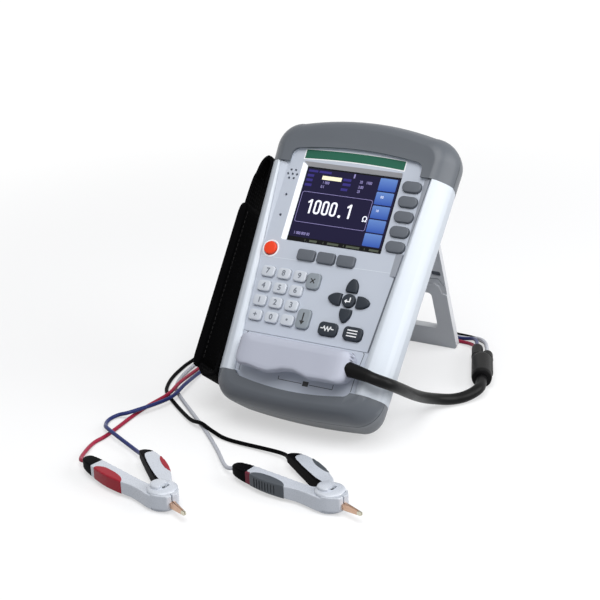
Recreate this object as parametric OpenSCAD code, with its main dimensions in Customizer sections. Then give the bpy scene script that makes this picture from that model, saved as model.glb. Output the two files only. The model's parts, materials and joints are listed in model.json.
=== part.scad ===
// Handheld ohmmeter on its folding stand, with a four-wire clip lead plugged in.
// Case parts are drawn face up: X to the right, Y up the face, Z out of the key panel.
// The lead, its wires and its clips are drawn in the standing frame, Z up from the floor.

/* [Case] */
// Length of the case from end to end
case_l = 214; // [206:1:222]
// Width of the case across its top end
top_w = 141; // [138:1:146]
// Width of the case across its bottom end
bottom_w = 127; // [125:1:132]
// Depth of the case behind the key panel
case_d = 46; // [45:0.5:50]
// Height of the side rails above the key panel
rail_rise = 3; // [2.8:0.1:3.6]
// Depth of the widest line, where the two shells meet
waist_d = 12; // [11.5:0.5:13]
// Wall of the shells
wall = 2.5; // [2:0.1:2.8]
// Wall of the soft end bumpers
bumper_t = 2; // [1.6:0.1:2.2]
// Corner radius of the case outline
corner_r = 16; // [14:1:18]
// Rise of the arched top edge
top_arch = 6; // [4:0.5:8]
// Drop of the arched bottom edge
bottom_arch = 2; // [1:0.5:3]
// How far the rail crests lie inside the widest line
crest_in = 10; // [9.5:0.5:11]
// How far the flat back lies inside the widest line
back_in = 13.5; // [12.5:0.5:14.5]
// How far the front end edges lie inside the ends
crest_end_in = 6.5; // [5:0.5:8]
// How far the back end edges lie inside the ends
back_end_in = 6; // [5:0.5:8]
// Lower edge of the top bumper, above the middle of the case
top_bumper_y = 68.5; // [67.5:0.5:70]
// Upper edge of the bottom bumper, below the middle of the case
bottom_bumper_y = 85.5; // [84.5:0.5:87]
// Angle that the standing case leans back
lean = 38; // [36:0.5:40]

/* [Key panel] */
// Thickness of the key panel
panel_t = 2.4; // [2:0.1:2.6]
// Half width of the key panel at the top bumper
panel_top = 58; // [57.5:0.5:59]
// Half width of the key panel at the bottom bumper
panel_bottom = 46; // [45:0.5:47]
// Half width of the panel tongue inside the top bumper
tongue_top = 50.5; // [49:0.5:52]
// Half width of the panel tongue inside the bottom bumper
tongue_bottom = 44.5; // [43:0.5:45.5]
// Reach of the panel tongue into the top bumper, at its corners
tongue_rise = 10.5; // [8.5:0.5:12.5]
// Bottom of the panel tongue at its corners
tongue_low = 89; // [88:0.5:91]
// Rise of both tongue ends in the middle
tongue_arch = 3.5; // [2:0.5:4]
// Line where the key panel meets the socket plate, below the middle
socket_line = 56.5; // [55:0.5:57]
// Width of the ledge that carries the key panel
ledge_w = 2.5; // [2:0.1:3]
// Thickness of that ledge
ledge_t = 1.6; // [1.2:0.1:2]

/* [Screen] */
// Width of the screen window
window_w = 72; // [70:0.5:73]
// Height of the screen window
window_h = 54.5; // [53:0.5:55]
// Height of the screen centre above the middle of the case
screen_y = 39.5; // [39:0.25:40]
// Border of the window pane under the panel
pane_lap = 2.2; // [1.5:0.1:2.4]
// Thickness of the window pane
pane_t = 1.2; // [0.8:0.1:1.4]
// Thickness of the display module
display_t = 4.8; // [4:0.1:5]

/* [Keys] */
// Travel of a key
key_travel = 1.2; // [0.8:0.1:1.3]
// Height of a pressed key's rim above the panel, added to the travel
key_proud = 1; // [0.6:0.1:1.6]
// Clearance round each key
key_fit = 0.25; // [0.15:0.05:0.3]
// Thickness of the flange that keeps a key in
flange_t = 1.2; // [1:0.1:1.3]
// How far the flange reaches past the key
flange_lap = 0.9; // [0.6:0.1:1]
// Centre of the soft key column
soft_x = 46.2; // [45.8:0.1:46.4]
// Distance of the first soft key below the top bumper
soft_drop = 7.3; // [7.1:0.1:8]
// Step from one soft key to the next
soft_step = 10.82; // [10.7:0.02:10.9]
// Width of a soft key
soft_w = 14; // [13:0.1:14.2]
// Height of a soft key
soft_h = 7.8; // [7:0.1:8]
// Centre of the middle function key
function_x = -1.9; // [-2.2:0.1:-1.6]
// Height of the function key row
function_y = 2.65; // [2.4:0.05:2.8]
// Step between function keys
function_step = 15.4; // [15.2:0.1:15.8]
// Width of a function key
function_w = 13.5; // [13:0.1:14]
// Height of a function key
function_h = 8; // [7:0.1:8]
// Left column of the number keys
number_x = -42.15; // [-42.4:0.05:-42]
// Top row of the number keys
number_y = -12.85; // [-13:0.05:-12.6]
// Step between number key columns
number_step_x = 12.55; // [12.4:0.05:12.7]
// Step between number key rows
number_step_y = 10.66; // [10.5:0.02:10.8]
// Width of a number key
number_w = 9.8; // [9:0.1:10]
// Height of a number key
number_h = 7.6; // [7:0.1:7.8]
// Diameter of the power key
power_d = 10.4; // [9.5:0.1:11]
// Diameter of the round key amid the arrows
centre_d = 9.5; // [9:0.1:9.8]
// Width of an arrow key
arrow_w = 8.6; // [8:0.1:9]
// Length of an arrow key
arrow_l = 10; // [9.5:0.1:10.4]
// Distance of an arrow key's inner end from the round key's centre
arrow_in = 6; // [5.8:0.1:6.4]
// Width of the two wide dark keys
wide_w = 14; // [13:0.1:14.5]
// Height of the two wide dark keys
wide_h = 9.5; // [9:0.1:10]

/* [Stand] */
// Width of the stand
stand_w = 74; // [72:0.5:75]
// Thickness of the stand
stand_t = 5; // [4.5:0.1:5.2]
// Height of the stand hinge above the middle of the case
hinge_y = 77; // [76:0.5:78]
// Angle that the stand opens from the back
stand_open = 58; // [56:1:60]
// Length of the stand's heel above its hinge
heel_l = 5; // [4.5:0.1:5.2]
// Width of the stand's two legs
leg_w = 15; // [13:0.5:17]
// Height of the stand's foot bar
foot_h = 21; // [19:0.5:24]
// Height of the stand's open window
opening_h = 32; // [28:1:34]
// Diameter of the stand's hinge pins
pin_d = 3; // [2.6:0.1:3.2]
// Length of each hinge pin
pin_l = 3.4; // [3:0.1:3.6]

/* [Hand strap] */
// Outermost line of the padded strap, from the middle of the case
strap_out = 87; // [86:0.5:89]
// Width of the webbing
webbing_w = 32; // [30:0.5:33]
// Thickness of the webbing
webbing_t = 2.4; // [2:0.1:2.6]
// Thickness of the strap's pad
pad_t = 8; // [7:0.1:8.4]
// Width of the strap's pad
pad_w = 38; // [36:0.5:39]
// Depth of the strap's middle behind the key panel
strap_z = 26; // [25:0.5:27]

/* [Inside] */
// Thickness of the circuit board
board_t = 1.6; // [1.2:0.1:1.8]
// Diameter of the case screws
screw_d = 2.9; // [2.7:0.1:3]
// Diameter of the screw heads
head_d = 5.6; // [5.2:0.1:5.8]
// Length of a case screw under its head
screw_l = 22; // [20:0.5:23]
// Diameter of the screw columns
column_d = 8; // [7.6:0.1:8.2]
// Width of the battery pack
battery_w = 58; // [56:0.5:60]
// Length of the battery pack
battery_l = 62; // [58:0.5:64]
// Thickness of the battery pack
battery_t = 16; // [14:0.5:18]

/* [Test lead] */
// Width of the plug housing
plug_w = 84; // [82:0.5:85]
// Height of the plug housing
plug_h = 23; // [22:0.5:24]
// Height of the plug housing above the socket plate
plug_t = 16; // [15:0.5:17]
// Height of the plug's middle, below the middle of the case
plug_y = 71.5; // [71:0.25:72]
// Number of contact pins
pin_count = 6; // [4:1:6]
// Step between contact pins
contact_step = 12; // [11:0.5:12]
// Diameter of a contact pin
contact_d = 3; // [2.6:0.1:3.2]
// Length of a contact pin below the housing
contact_l = 8; // [7:0.5:9]
// Diameter of the lead
lead_d = 8; // [7.6:0.1:8.2]
// Diameter of a single wire
wire_d = 2.8; // [2.6:0.1:2.9]
// Diameter of the splitter barrel
barrel_d = 15; // [14.5:0.1:15.4]

/* [Clips] */
// Height of a clip lying on its side
clip_t = 14; // [13.5:0.1:14.4]
// Diameter of the pivot hub
hub_d = 19; // [18.5:0.1:19.5]
// Diameter of the pivot pin
pivot_d = 3.6; // [3.2:0.1:4]
// Length of the fixed arm behind the pivot
arm_l = 76; // [74:0.5:77]
// Length of the lever behind the pivot
lever_l = 61; // [60:0.5:61.5]
// Angle between the two arms at rest
clip_open = 28.5; // [27.5:0.5:29.5]
// Bend of the jaws against the fixed arm
jaw_bend = 17.5; // [16.5:0.5:18.5]
// Length of a jaw from the pivot to its tip
jaw_l = 31; // [29:0.5:32]
// Thickness of a jaw plate
jaw_t = 2.4; // [2:0.1:2.8]

/* [Hidden] */
$fn = 48;
big = 400;
fit = 0.15;
overlap = 0.5;

// Colours as the object shows them
bumper_grey = "#6b7075";
rail_white = "#e6eef6";
panel_grey = "#bcc4d4";
plug_grey = "#b4b8c6";
key_grey = "#6b7078";
key_dark = "#3a424c";
key_white = "#eceef2";
power_red = "#f04c22";
rubber_black = "#141416";
stand_grey = "#9a9ca2";
steel = "#b8bcc0";
copper = "#c08a50";
board_green = "#1f5a3c";

// Shape of the case between its back and its rail crests
profile_steps = [1, 0.9, 0.72, 0.5, 0.25, 0, -0.2, -0.4, -0.6, -0.78, -0.9, -1];
crest_curve = 1.7;
crest_end_curve = 2.4;
back_curve = 1.6;
back_end_curve = 8;
corner_share = 0.6;
corner_least = 3;
corner_steps = 5;
arch_steps = 6;
half_l = case_l / 2;
tongue_y = top_bumper_y + tongue_rise;
soft_y = top_bumper_y - soft_drop;

function corner(cx, cy, r, from) = [for (i = [0:corner_steps])
    let (a = from + 90 * i / corner_steps) [cx + r * cos(a), cy + r * sin(a)]];
function arch(half, y, rise, side) = [for (i = [1:arch_steps - 1])
    let (t = side * (1 - 2 * i / arch_steps)) [t * half, y + rise * (1 - t * t)]];
function outline(side_in, end_in, r) =
    let (tw = top_w / 2 - side_in, bw = bottom_w / 2 - side_in,
        ty = half_l - end_in - top_arch, by = half_l - end_in - bottom_arch)
    concat(corner(tw - r, ty - r, r, 0), arch(tw - r, ty, top_arch, 1),
        corner(r - tw, ty - r, r, 90), corner(r - bw, r - by, r, 180),
        arch(bw - r, -by, -bottom_arch, -1), corner(bw - r, r - by, r, 270));

function level_z(u, s) = -waist_d + u * ((u > 0 ? waist_d + rail_rise : case_d - waist_d) - s);
function level_side(u, s) = s + (u > 0 ? crest_in * pow(u, crest_curve) : back_in * pow(-u, back_curve));
function level_end(u, s) = s + (u > 0 ? crest_end_in * pow(u, crest_end_curve)
    : back_end_in * pow(-u, back_end_curve));
function level_r(u, s) = max(corner_r - corner_share * level_side(u, s), corner_least);
function ring(u, s) = [for (p = outline(level_side(u, s), level_end(u, s), level_r(u, s)))
    [p[0], p[1], level_z(u, s)]];

// Place of the standing case: its lowest edge touches the floor, and the middle of the
// object's box is above the origin
case_points = [for (u = profile_steps) each ring(u, 0)];
case_h = -min([for (p = case_points) p[1] * cos(lean) + p[2] * sin(lean)]);
case_front = min([for (p = case_points) p[1] * sin(lean) - p[2] * cos(lean)]);
stand_gap = 0.3;
hinge_z = -case_d + stand_t / 2 + stand_gap;
hinge_h = case_h + hinge_y * cos(lean) + hinge_z * sin(lean);
stand_tilt = stand_open - lean;
stand_reach = hinge_h / cos(stand_tilt);
foot_back = hinge_y * sin(lean) - hinge_z * cos(lean) + hinge_h * tan(stand_tilt)
    + stand_t / 2 / cos(stand_tilt);
shift_x = (strap_out - top_w / 2) / 2;
shift_y = -(case_front + foot_back) / 2;

module in_case() {
    translate([shift_x, shift_y, case_h]) rotate([90 - lean, 0, 0]) children();
}

module on_floor() {
    translate([shift_x, shift_y, 0]) children();
}

// Solid through closed rings of equal count, the first ring on top
module loft(rings) {
    n = len(rings[0]);
    m = len(rings);
    polyhedron(points = [for (r = rings) each r],
        faces = concat([[for (i = [n - 1:-1:0]) i]], [[for (i = [0:n - 1]) (m - 1) * n + i]],
            [for (k = [0:m - 2]) for (i = [0:n - 1]) let (j = (i + 1) % n)
                [k * n + i, k * n + j, (k + 1) * n + j]],
            [for (k = [0:m - 2]) for (i = [0:n - 1]) let (j = (i + 1) % n)
                [k * n + i, (k + 1) * n + j, (k + 1) * n + i]]));
}

module envelope(s) {
    loft([for (u = profile_steps) ring(u, s)]);
}

module slab(y_low, y_high, z_low, z_high) {
    translate([-big / 2, y_low, z_low]) cube([big, y_high - y_low, z_high - z_low]);
}

// Case body: full size between the bumpers, thinner under them
module body_shape(s) {
    intersection() {
        envelope(s);
        slab(-bottom_bumper_y, top_bumper_y, -big / 2, big / 2);
    }
    envelope(s + bumper_t + fit);
}

module rounded(w, h, r) {
    square([w - 2 * r, h], center = true);
    square([w, h - 2 * r], center = true);
    for (x = [-1, 1], y = [-1, 1]) translate([x * (w / 2 - r), y * (h / 2 - r)]) circle(r);
}

// Half width of the key panel at a height on the face
function panel_half(y) = panel_bottom + (panel_top - panel_bottom)
    * (y + bottom_bumper_y) / (top_bumper_y + bottom_bumper_y);

tongue_r = 6;
function tongue(half, y, side, grow) = [for (i = [0:arch_steps])
    let (t = 1 - 2 * i / arch_steps, x = half - tongue_r / 2 + grow)
    [t * x * side, side * (y + grow + tongue_arch * (1 - t * t) - (abs(t) == 1 ? tongue_r / 2 : 0))]];

// Tongues reach into the bumpers, the middle lies between the rails
module tongue_shape(grow) {
    polygon(concat([[-tongue_top - grow, 0], [tongue_top + grow, 0],
        [tongue_top + grow, tongue_y - tongue_r]],
        tongue(tongue_top, tongue_y, 1, grow), [[-tongue_top - grow, tongue_y - tongue_r]]));
    polygon(concat([[tongue_bottom + grow, 0], [-tongue_bottom - grow, 0],
        [-tongue_bottom - grow, tongue_r - tongue_low]],
        tongue(tongue_bottom, tongue_low, -1, grow), [[tongue_bottom + grow, tongue_r - tongue_low]]));
}

function panel_middle(grow, end) = let (low = -bottom_bumper_y - end, high = top_bumper_y + end)
    [[-panel_half(low) - grow, low], [panel_half(low) + grow, low],
    [panel_half(high) + grow, high], [-panel_half(high) - grow, high]];

module panel_shape(grow) {
    polygon(panel_middle(grow, -fit));
    tongue_shape(grow);
}

rail_slope_top = 1.5;
rail_slope_bottom = 6.5;
// Sloping inner faces of the rails
module rail_cut() {
    low = -bottom_bumper_y;
    top = rail_rise + overlap;
    loft([[[-panel_bottom - rail_slope_bottom, low, top], [panel_bottom + rail_slope_bottom, low, top],
        [panel_top + rail_slope_top, top_bumper_y, top], [-panel_top - rail_slope_top, top_bumper_y, top]],
        [[-panel_bottom, low, 0], [panel_bottom, low, 0],
        [panel_top, top_bumper_y, 0], [-panel_top, top_bumper_y, 0]]]);
}

// Screws through the back, from the six column places
column_inset = 0.5;
column_top = tongue_y - 5;
column_mid = -22;
column_low = -80;
columns = [for (s = [-1, 1]) each [[s * (tongue_top - column_inset), column_top],
    [s * (panel_half(column_mid) + column_inset), column_mid],
    [s * (tongue_bottom - column_inset), column_low]]];
head_t = 2;
screw_bite = 6;
screw_head_z = -waist_d + screw_bite - screw_l;
screw_fit = 0.05;
ledge_z = -panel_t - ledge_t;

module front_case() {
    color(rail_white) in_case() difference() {
        union() {
            difference() {
                intersection() {
                    body_shape(0);
                    slab(-big / 2, big / 2, -waist_d, big / 2);
                }
                intersection() {
                    body_shape(wall);
                    slab(-big / 2, big / 2, -waist_d - overlap, ledge_z);
                }
            }
            for (c = columns) translate([c[0], c[1], -waist_d])
                cylinder(d = column_d, h = waist_d + ledge_z + overlap);
        }
        rail_cut();
        translate([0, 0, -panel_t]) linear_extrude(big) panel_shape(fit);
        translate([0, 0, ledge_z - overlap]) linear_extrude(big) panel_shape(-ledge_w);
        translate([0, 0, ledge_z - overlap]) linear_extrude(big) key_cuts(key_fit);
        for (c = columns) translate([c[0], c[1], -waist_d - overlap])
            cylinder(d = screw_d + 2 * screw_fit, h = waist_d + ledge_z);
    }
}

// Recess in the back that takes the folded stand
recess_w = stand_w + 2 * stand_gap;
recess_z = hinge_z + stand_t / 2 + stand_gap;
recess_top = hinge_y + heel_l + 1;
recess_low = hinge_y - stand_reach - stand_t;
recess_wall = 2.2;
well_low = hinge_y - heel_l;
ear_w = 4;
well_fit = 0.05;
well_z = hinge_z + heel_l * sin(stand_open) + stand_t / 2 * cos(stand_open) + well_fit;
pin_fit = 0.08;

// Battery bay in the lower half, its cover lies flush in the stand recess
bay_y = -36;
bay_gap = 0.3;
cover_lap = 2.5;
cover_t = 1.2;
rib_t = 1.6;
battery_z = recess_z + recess_wall;

// Lugs on the left side that hold the strap ends
lug_l = 8;
lug_ys = [60, -81];
lug_z = 13.5;
lug_out = 5.6;
slot_gap = 0.3;
lug_sink = 0.3;
lug_wall = 1;
lug_root = 20;
// Line of the webbing inside a lug
function case_side(y) = bottom_w / 2 + (top_w - bottom_w) * (y + half_l) / case_l / 2;
function lug_x(y) = lug_sink - case_side(y) - lug_out / 2;

board_gap = 0.2;
board_top = -panel_t - pane_t - display_t - board_gap;
board_low = board_top - board_t;
post_d = 6;
posts = [[47, 50], [-47, 50], [46, -48], [-46, -48]];

module lugs() {
    low = -strap_z - webbing_w / 2 - lug_wall;
    for (y = lug_ys) translate([lug_x(y) - lug_out / 2, y - lug_l / 2, low])
        cube([lug_root, lug_l, -lug_z - low]);
}

module rear_inside() {
    for (c = columns) translate([c[0], c[1], -case_d]) cylinder(d = column_d, h = case_d - waist_d);
    for (p = posts) translate([p[0], p[1], -case_d]) cylinder(d = post_d, h = case_d + board_low);
    rib_w = recess_w + 2 * ear_w;
    translate([-rib_w / 2, recess_low - recess_wall, -case_d])
        cube([rib_w, recess_top - recess_low + 2 * recess_wall, case_d + recess_z + recess_wall]);
    translate([-rib_w / 2, well_low - recess_wall, -case_d])
        cube([rib_w, recess_top - well_low + 2 * recess_wall, case_d + well_z + recess_wall]);
    translate([-battery_w / 2 - bay_gap - rib_t, bay_y - battery_l / 2 - bay_gap - rib_t, -case_d])
        cube([battery_w + 2 * (bay_gap + rib_t), battery_l + 2 * (bay_gap + rib_t),
            case_d + battery_z + battery_t]);
}

// Cut from the back, as wide as the battery pack with a border, up to a level
module bay_cut(border, level) {
    translate([-battery_w / 2 - border, bay_y - battery_l / 2 - border, -case_d])
        cube([battery_w + 2 * border, battery_l + 2 * border, case_d + level]);
}

module hinge_bore() {
    translate([-recess_w / 2 - pin_l - stand_gap, hinge_y, hinge_z]) rotate([0, 90, 0])
        cylinder(d = pin_d + 2 * pin_fit, h = recess_w + 2 * (pin_l + stand_gap));
}

module rear_case() {
    color(rail_white) in_case() difference() {
        union() {
            difference() {
                intersection() {
                    body_shape(0);
                    slab(-big / 2, big / 2, -big / 2, -waist_d);
                }
                intersection() {
                    body_shape(wall);
                    slab(-big / 2, big / 2, -big / 2, -waist_d + overlap);
                }
            }
            intersection() {
                body_shape(wall / 2);
                rear_inside();
            }
            difference() {
                lugs();
                body_shape(wall / 2);
            }
        }
        translate([-recess_w / 2, recess_low, -big / 2])
            cube([recess_w, recess_top - recess_low, big / 2 + recess_z]);
        translate([-recess_w / 2, well_low, -case_d])
            cube([recess_w, recess_top - well_low, case_d + well_z]);
        hinge_bore();
        bay_cut(bay_gap, battery_z + battery_t + overlap);
        bay_cut(bay_gap + cover_lap, recess_z + cover_t);
        for (c = columns) translate([c[0], c[1], -big / 2]) {
            cylinder(d = head_d + 4 * screw_fit, h = big / 2 + screw_head_z);
            cylinder(d = screw_d + 2 * screw_fit, h = big);
        }
        for (y = lug_ys) translate([lug_x(y) - webbing_t / 2 - slot_gap, y - lug_l,
            -strap_z - webbing_w / 2 - slot_gap])
            cube([webbing_t + 2 * slot_gap, 2 * lug_l, webbing_w + 2 * slot_gap]);
    }
}

module bumper(y_low, y_high) {
    difference() {
        intersection() {
            envelope(0);
            slab(y_low, y_high, -big / 2, big / 2);
        }
        envelope(bumper_t);
        translate([0, 0, -panel_t]) linear_extrude(big) tongue_shape(fit);
        translate([-recess_w / 2, recess_low, -big / 2])
            cube([recess_w, recess_top - recess_low, big / 2 - waist_d]);
        hinge_bore();
        for (c = columns) translate([c[0], c[1], -big / 2])
            cylinder(d = head_d + 4 * screw_fit, h = big / 2 - waist_d);
    }
}

module top_bumper() {
    color(bumper_grey) in_case() bumper(top_bumper_y + fit, big / 2);
}

module bottom_bumper() {
    color(bumper_grey) in_case() bumper(-big / 2, -bottom_bumper_y - fit);
}

// Key outlines, each grown all round by one value
module soft_shape(grow) {
    rounded(soft_w + 2 * grow, soft_h + 2 * grow, soft_h / 2 - 0.2 + grow);
}

module function_shape(grow) {
    rounded(function_w + 2 * grow, function_h + 2 * grow, function_h / 4 + grow);
}

module number_shape(grow) {
    rounded(number_w + 2 * grow, number_h + 2 * grow, number_h / 3.5 + grow);
}

module round_shape(d, grow) {
    circle(d = d + 2 * grow);
}

module side_shape(h, grow) {
    rounded(side_w + 2 * grow, h + 2 * grow, side_w / 3.5 + grow);
}

module wide_shape(grow) {
    rounded(wide_w + 2 * grow, wide_h + 2 * grow, wide_h / 3 + grow);
}

// Bullet outline, flat inner end at the origin and its point along Y
arrow_flat = 2.4;
arrow_bow = (pow(arrow_l - arrow_flat, 2) / (arrow_w / 2) + arrow_w / 2) / 2;
module arrow_shape(grow) {
    intersection() {
        translate([arrow_bow - arrow_w / 2, arrow_flat]) circle(arrow_bow + grow, $fn = 96);
        translate([arrow_w / 2 - arrow_bow, arrow_flat]) circle(arrow_bow + grow, $fn = 96);
        translate([-arrow_w / 2 - grow, -grow]) square([arrow_w + 2 * grow, arrow_l + grow - 0.6]);
    }
}

// Places of the keys on the face
side_w = 10;
escape_h = 11.5;
backspace_h = 14;
power_at = [-46.5, 4.1];
escape_at = [-6.1, -14.8];
backspace_at = [-5.5, -41.9];
centre_at = [23.8, -24];
measure_at = [14.6, -45.8];
setup_at = [33.4, -46];
arrow_turns = [-90, 0, 90, 180];

function soft_at(i) = [soft_x, soft_y - i * soft_step];
function function_at(i) = [function_x + (i - 1) * function_step, function_y];
function grid_at(column, row) = [number_x + column * number_step_x, number_y - row * number_step_y];
function number_at(digit) = digit == 0 ? grid_at(1, 3) : grid_at((digit - 1) % 3, 2 - floor((digit - 1) / 3));

module key_cuts(grow) {
    for (i = [0:4]) translate(soft_at(i)) soft_shape(grow);
    for (i = [0:2]) translate(function_at(i)) function_shape(grow);
    for (digit = [0:9]) translate(number_at(digit)) number_shape(grow);
    for (column = [0, 2]) translate(grid_at(column, 3)) number_shape(grow);
    for (turn = arrow_turns) translate(centre_at) rotate(turn) translate([0, arrow_in]) arrow_shape(grow);
    translate(power_at) round_shape(power_d, grow);
    translate(centre_at) round_shape(centre_d, grow);
    translate(escape_at) side_shape(escape_h, grow);
    translate(backspace_at) side_shape(backspace_h, grow);
    translate(measure_at) wide_shape(grow);
    translate(setup_at) wide_shape(grow);
}

key_gap = 0.1;
key_edge = 0.6;
key_rise = key_travel + key_proud;
// A key: children are its outline and its smaller top outline; the flange keeps it in
module push_key(at, tint, lap) {
    color(tint) in_case() translate([at[0], at[1], -panel_t - key_gap]) {
        linear_extrude(panel_t + key_gap + key_rise - key_edge) children(0);
        translate([0, 0, panel_t + key_gap + key_rise - key_edge]) linear_extrude(key_edge) children(1);
        translate([-lap[0] / 2, -lap[1] / 2, -flange_t]) cube([lap[0], lap[1], flange_t]);
    }
}

module soft_key(i) {
    push_key(soft_at(i), key_grey, [soft_w / 2, soft_h + 2 * flange_lap]) {
        soft_shape(0);
        soft_shape(-key_edge);
    }
}

module function_key(i) {
    push_key(function_at(i), key_grey, [function_w / 2, function_h + 2 * flange_lap]) {
        function_shape(0);
        function_shape(-key_edge);
    }
}

module grid_key(at) {
    push_key(at, key_white, [number_w / 2, number_h + 2 * flange_lap]) {
        number_shape(0);
        number_shape(-key_edge);
    }
}

module power_key() {
    push_key(power_at, power_red, [power_d / 2, power_d + 2 * flange_lap]) {
        round_shape(power_d, 0);
        round_shape(power_d, -key_edge);
    }
}

module centre_key() {
    push_key(centre_at, key_dark, [centre_d / 1.4, centre_d / 1.4]) {
        round_shape(centre_d, 0);
        round_shape(centre_d, -key_edge);
    }
}

module side_key(at, h) {
    push_key(at, key_grey, [side_w / 2, h + 2 * flange_lap]) {
        side_shape(h, 0);
        side_shape(h, -key_edge);
    }
}

module wide_key(at) {
    push_key(at, key_dark, [wide_w / 2, wide_h + 2 * flange_lap]) {
        wide_shape(0);
        wide_shape(-key_edge);
    }
}

module arrow_key(i) {
    color(key_dark) in_case() translate(centre_at) rotate(arrow_turns[i])
        translate([0, arrow_in, -panel_t - key_gap]) {
            linear_extrude(panel_t + key_gap + key_rise - key_edge) arrow_shape(0);
            translate([0, 0, panel_t + key_gap + key_rise - key_edge]) linear_extrude(key_edge)
                translate([0, key_edge]) arrow_shape(-key_edge);
            translate([-arrow_w / 2 - flange_lap, arrow_flat / 2, -flange_t])
                cube([arrow_w + 2 * flange_lap, arrow_l / 3, flange_t]);
        }
}

// Small openings left of the screen
speaker_at = [-46.8, 59.9];
speaker_hole_d = 1.8;
speaker_step = 3.6;
lamp_d = 2;
lamp_at = [[-47, 44.4], [-46.8, 29.1]];

module face_panel() {
    color(panel_grey) in_case() translate([0, 0, -panel_t]) linear_extrude(panel_t) difference() {
        intersection() {
            panel_shape(0);
            translate([-big / 2, -socket_line + fit]) square([big, big]);
        }
        translate([0, screen_y]) square([window_w, window_h], center = true);
        key_cuts(key_fit);
        translate(speaker_at) circle(d = speaker_hole_d);
        for (turn = [0:60:300]) translate(speaker_at) rotate(turn) translate([speaker_step, 0])
            circle(d = speaker_hole_d);
        for (at = lamp_at) translate(at) circle(d = lamp_d);
    }
}

module screen_lens() {
    color("#201c42") in_case() translate([0, screen_y, -panel_t - pane_t]) linear_extrude(pane_t)
        square([window_w + 2 * pane_lap, window_h + 2 * pane_lap], center = true);
}

module display_module() {
    w = window_w + 2 * pane_lap;
    h = window_h + 2 * pane_lap;
    color("#8f9699") in_case() translate([-w / 2, screen_y - h / 2, -panel_t - pane_t - display_t])
        cube([w, h, display_t]);
}

board_w = 104;
board_high = 70;
board_end = -52;
column_gap = 0.4;
module board_shape() {
    difference() {
        translate([-board_w / 2, board_end]) square([board_w, board_high - board_end]);
        for (c = columns) translate(c) circle(d = column_d + 2 * column_gap);
    }
}

chip_t = 2.4;
chip_w = 12;
relay_t = 7;
relay_size = [11, 16];
chips = [[-24, 30], [18, 38], [26, 8], [-12, -8]];
relays = [[-30, -30], [-14, -30], [2, -30]];
module main_board() {
    color(board_green) in_case() union() {
        translate([0, 0, board_low]) linear_extrude(board_t) board_shape();
        for (c = chips) translate([c[0], c[1], board_low - chip_t])
            linear_extrude(chip_t + overlap) square(chip_w, center = true);
        for (c = relays) translate([c[0], c[1], board_low - relay_t])
            linear_extrude(relay_t + overlap) square(relay_size, center = true);
    }
}

mat_gap = 0.3;
mat_t = -board_top - panel_t - key_gap - flange_t - key_travel - mat_gap;
module keypad_mat() {
    display_low = screen_y - window_h / 2 - pane_lap;
    display_side = window_w / 2 + pane_lap;
    color("#c9ccd2") in_case() translate([0, 0, board_top]) linear_extrude(mat_t) intersection() {
        board_shape();
        union() {
            translate([-board_w / 2, board_end]) square([board_w, display_low - board_end - fit]);
            translate([display_side + fit, board_end]) square([big, soft_y + soft_h - board_end]);
        }
    }
}

module battery_pack() {
    color("#2b4a86") in_case() translate([-battery_w / 2, bay_y - battery_l / 2, battery_z])
        cube([battery_w, battery_l, battery_t]);
}

cover_gap = 0.15;
module battery_cover() {
    w = battery_w + 2 * (cover_lap + bay_gap - cover_gap);
    l = battery_l + 2 * (cover_lap + bay_gap - cover_gap);
    color(rail_white) in_case() union() {
        translate([-w / 2, bay_y - l / 2, recess_z]) cube([w, l, cover_t]);
        translate([-battery_w / 2, bay_y - battery_l / 2, recess_z])
            cube([battery_w, battery_l, battery_z - recess_z]);
    }
}

cross_w = 0.8;
module case_screws() {
    color(steel) in_case() for (c = columns) translate([c[0], c[1], screw_head_z]) {
        cylinder(d = screw_d, h = screw_l);
        translate([0, 0, -head_t]) difference() {
            cylinder(d = head_d, h = head_t);
            for (turn = [0, 90]) rotate(turn) translate([-cross_w / 2, -head_d / 3, -overlap])
                cube([cross_w, head_d / 1.5, overlap + head_t / 2]);
        }
    }
}

socket_w = 76;
socket_h = 22;
socket_t = 12;
contact_fit = 0.1;
contact_floor = 1;
function contact_x(i) = (i - (pin_count - 1) / 2) * contact_step;
module socket_block() {
    color(panel_grey) in_case() difference() {
        union() {
            translate([0, 0, -panel_t]) linear_extrude(panel_t) intersection() {
                panel_shape(0);
                translate([-big / 2, -socket_line - fit - big]) square([big, big]);
            }
            translate([-socket_w / 2, -plug_y - socket_h / 2, -panel_t - socket_t])
                cube([socket_w, socket_h, socket_t + overlap]);
        }
        for (i = [0:pin_count - 1]) translate([contact_x(i), -plug_y, -contact_l - contact_floor])
            cylinder(d = contact_d + 2 * contact_fit, h = big);
    }
}

// Strap line seen from the front: a loop at each lug and a long pad between them
strap_in = strap_out - pad_t / 2;
strap_high = 78;
strap_low = -91;
pad_high = 37;
pad_low = -86;
pad_chamfer = 3;
pad_nose = 1.5;
lug_high = lug_ys[0];
lug_base = lug_ys[1];
strap_route = [[lug_x(lug_high), lug_high - lug_l], [lug_x(lug_high), strap_high - 7],
    [lug_x(lug_high) - 1.6, strap_high - 2], [lug_x(lug_high) - 4.6, strap_high],
    [lug_x(lug_high) - 7.6, strap_high - 4], [lug_x(lug_high) - 9, strap_high - 12],
    [-strap_in, pad_high + 5], [-strap_in, strap_low + 31], [-strap_in + 1.4, strap_low + 11],
    [-strap_in + 4.4, strap_low + 3], [-strap_in + 9, strap_low],
    [lug_x(lug_base) - 1.6, strap_low + 1.6], [lug_x(lug_base), strap_low + 4.4],
    [lug_x(lug_base), lug_base + lug_l]];

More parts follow.
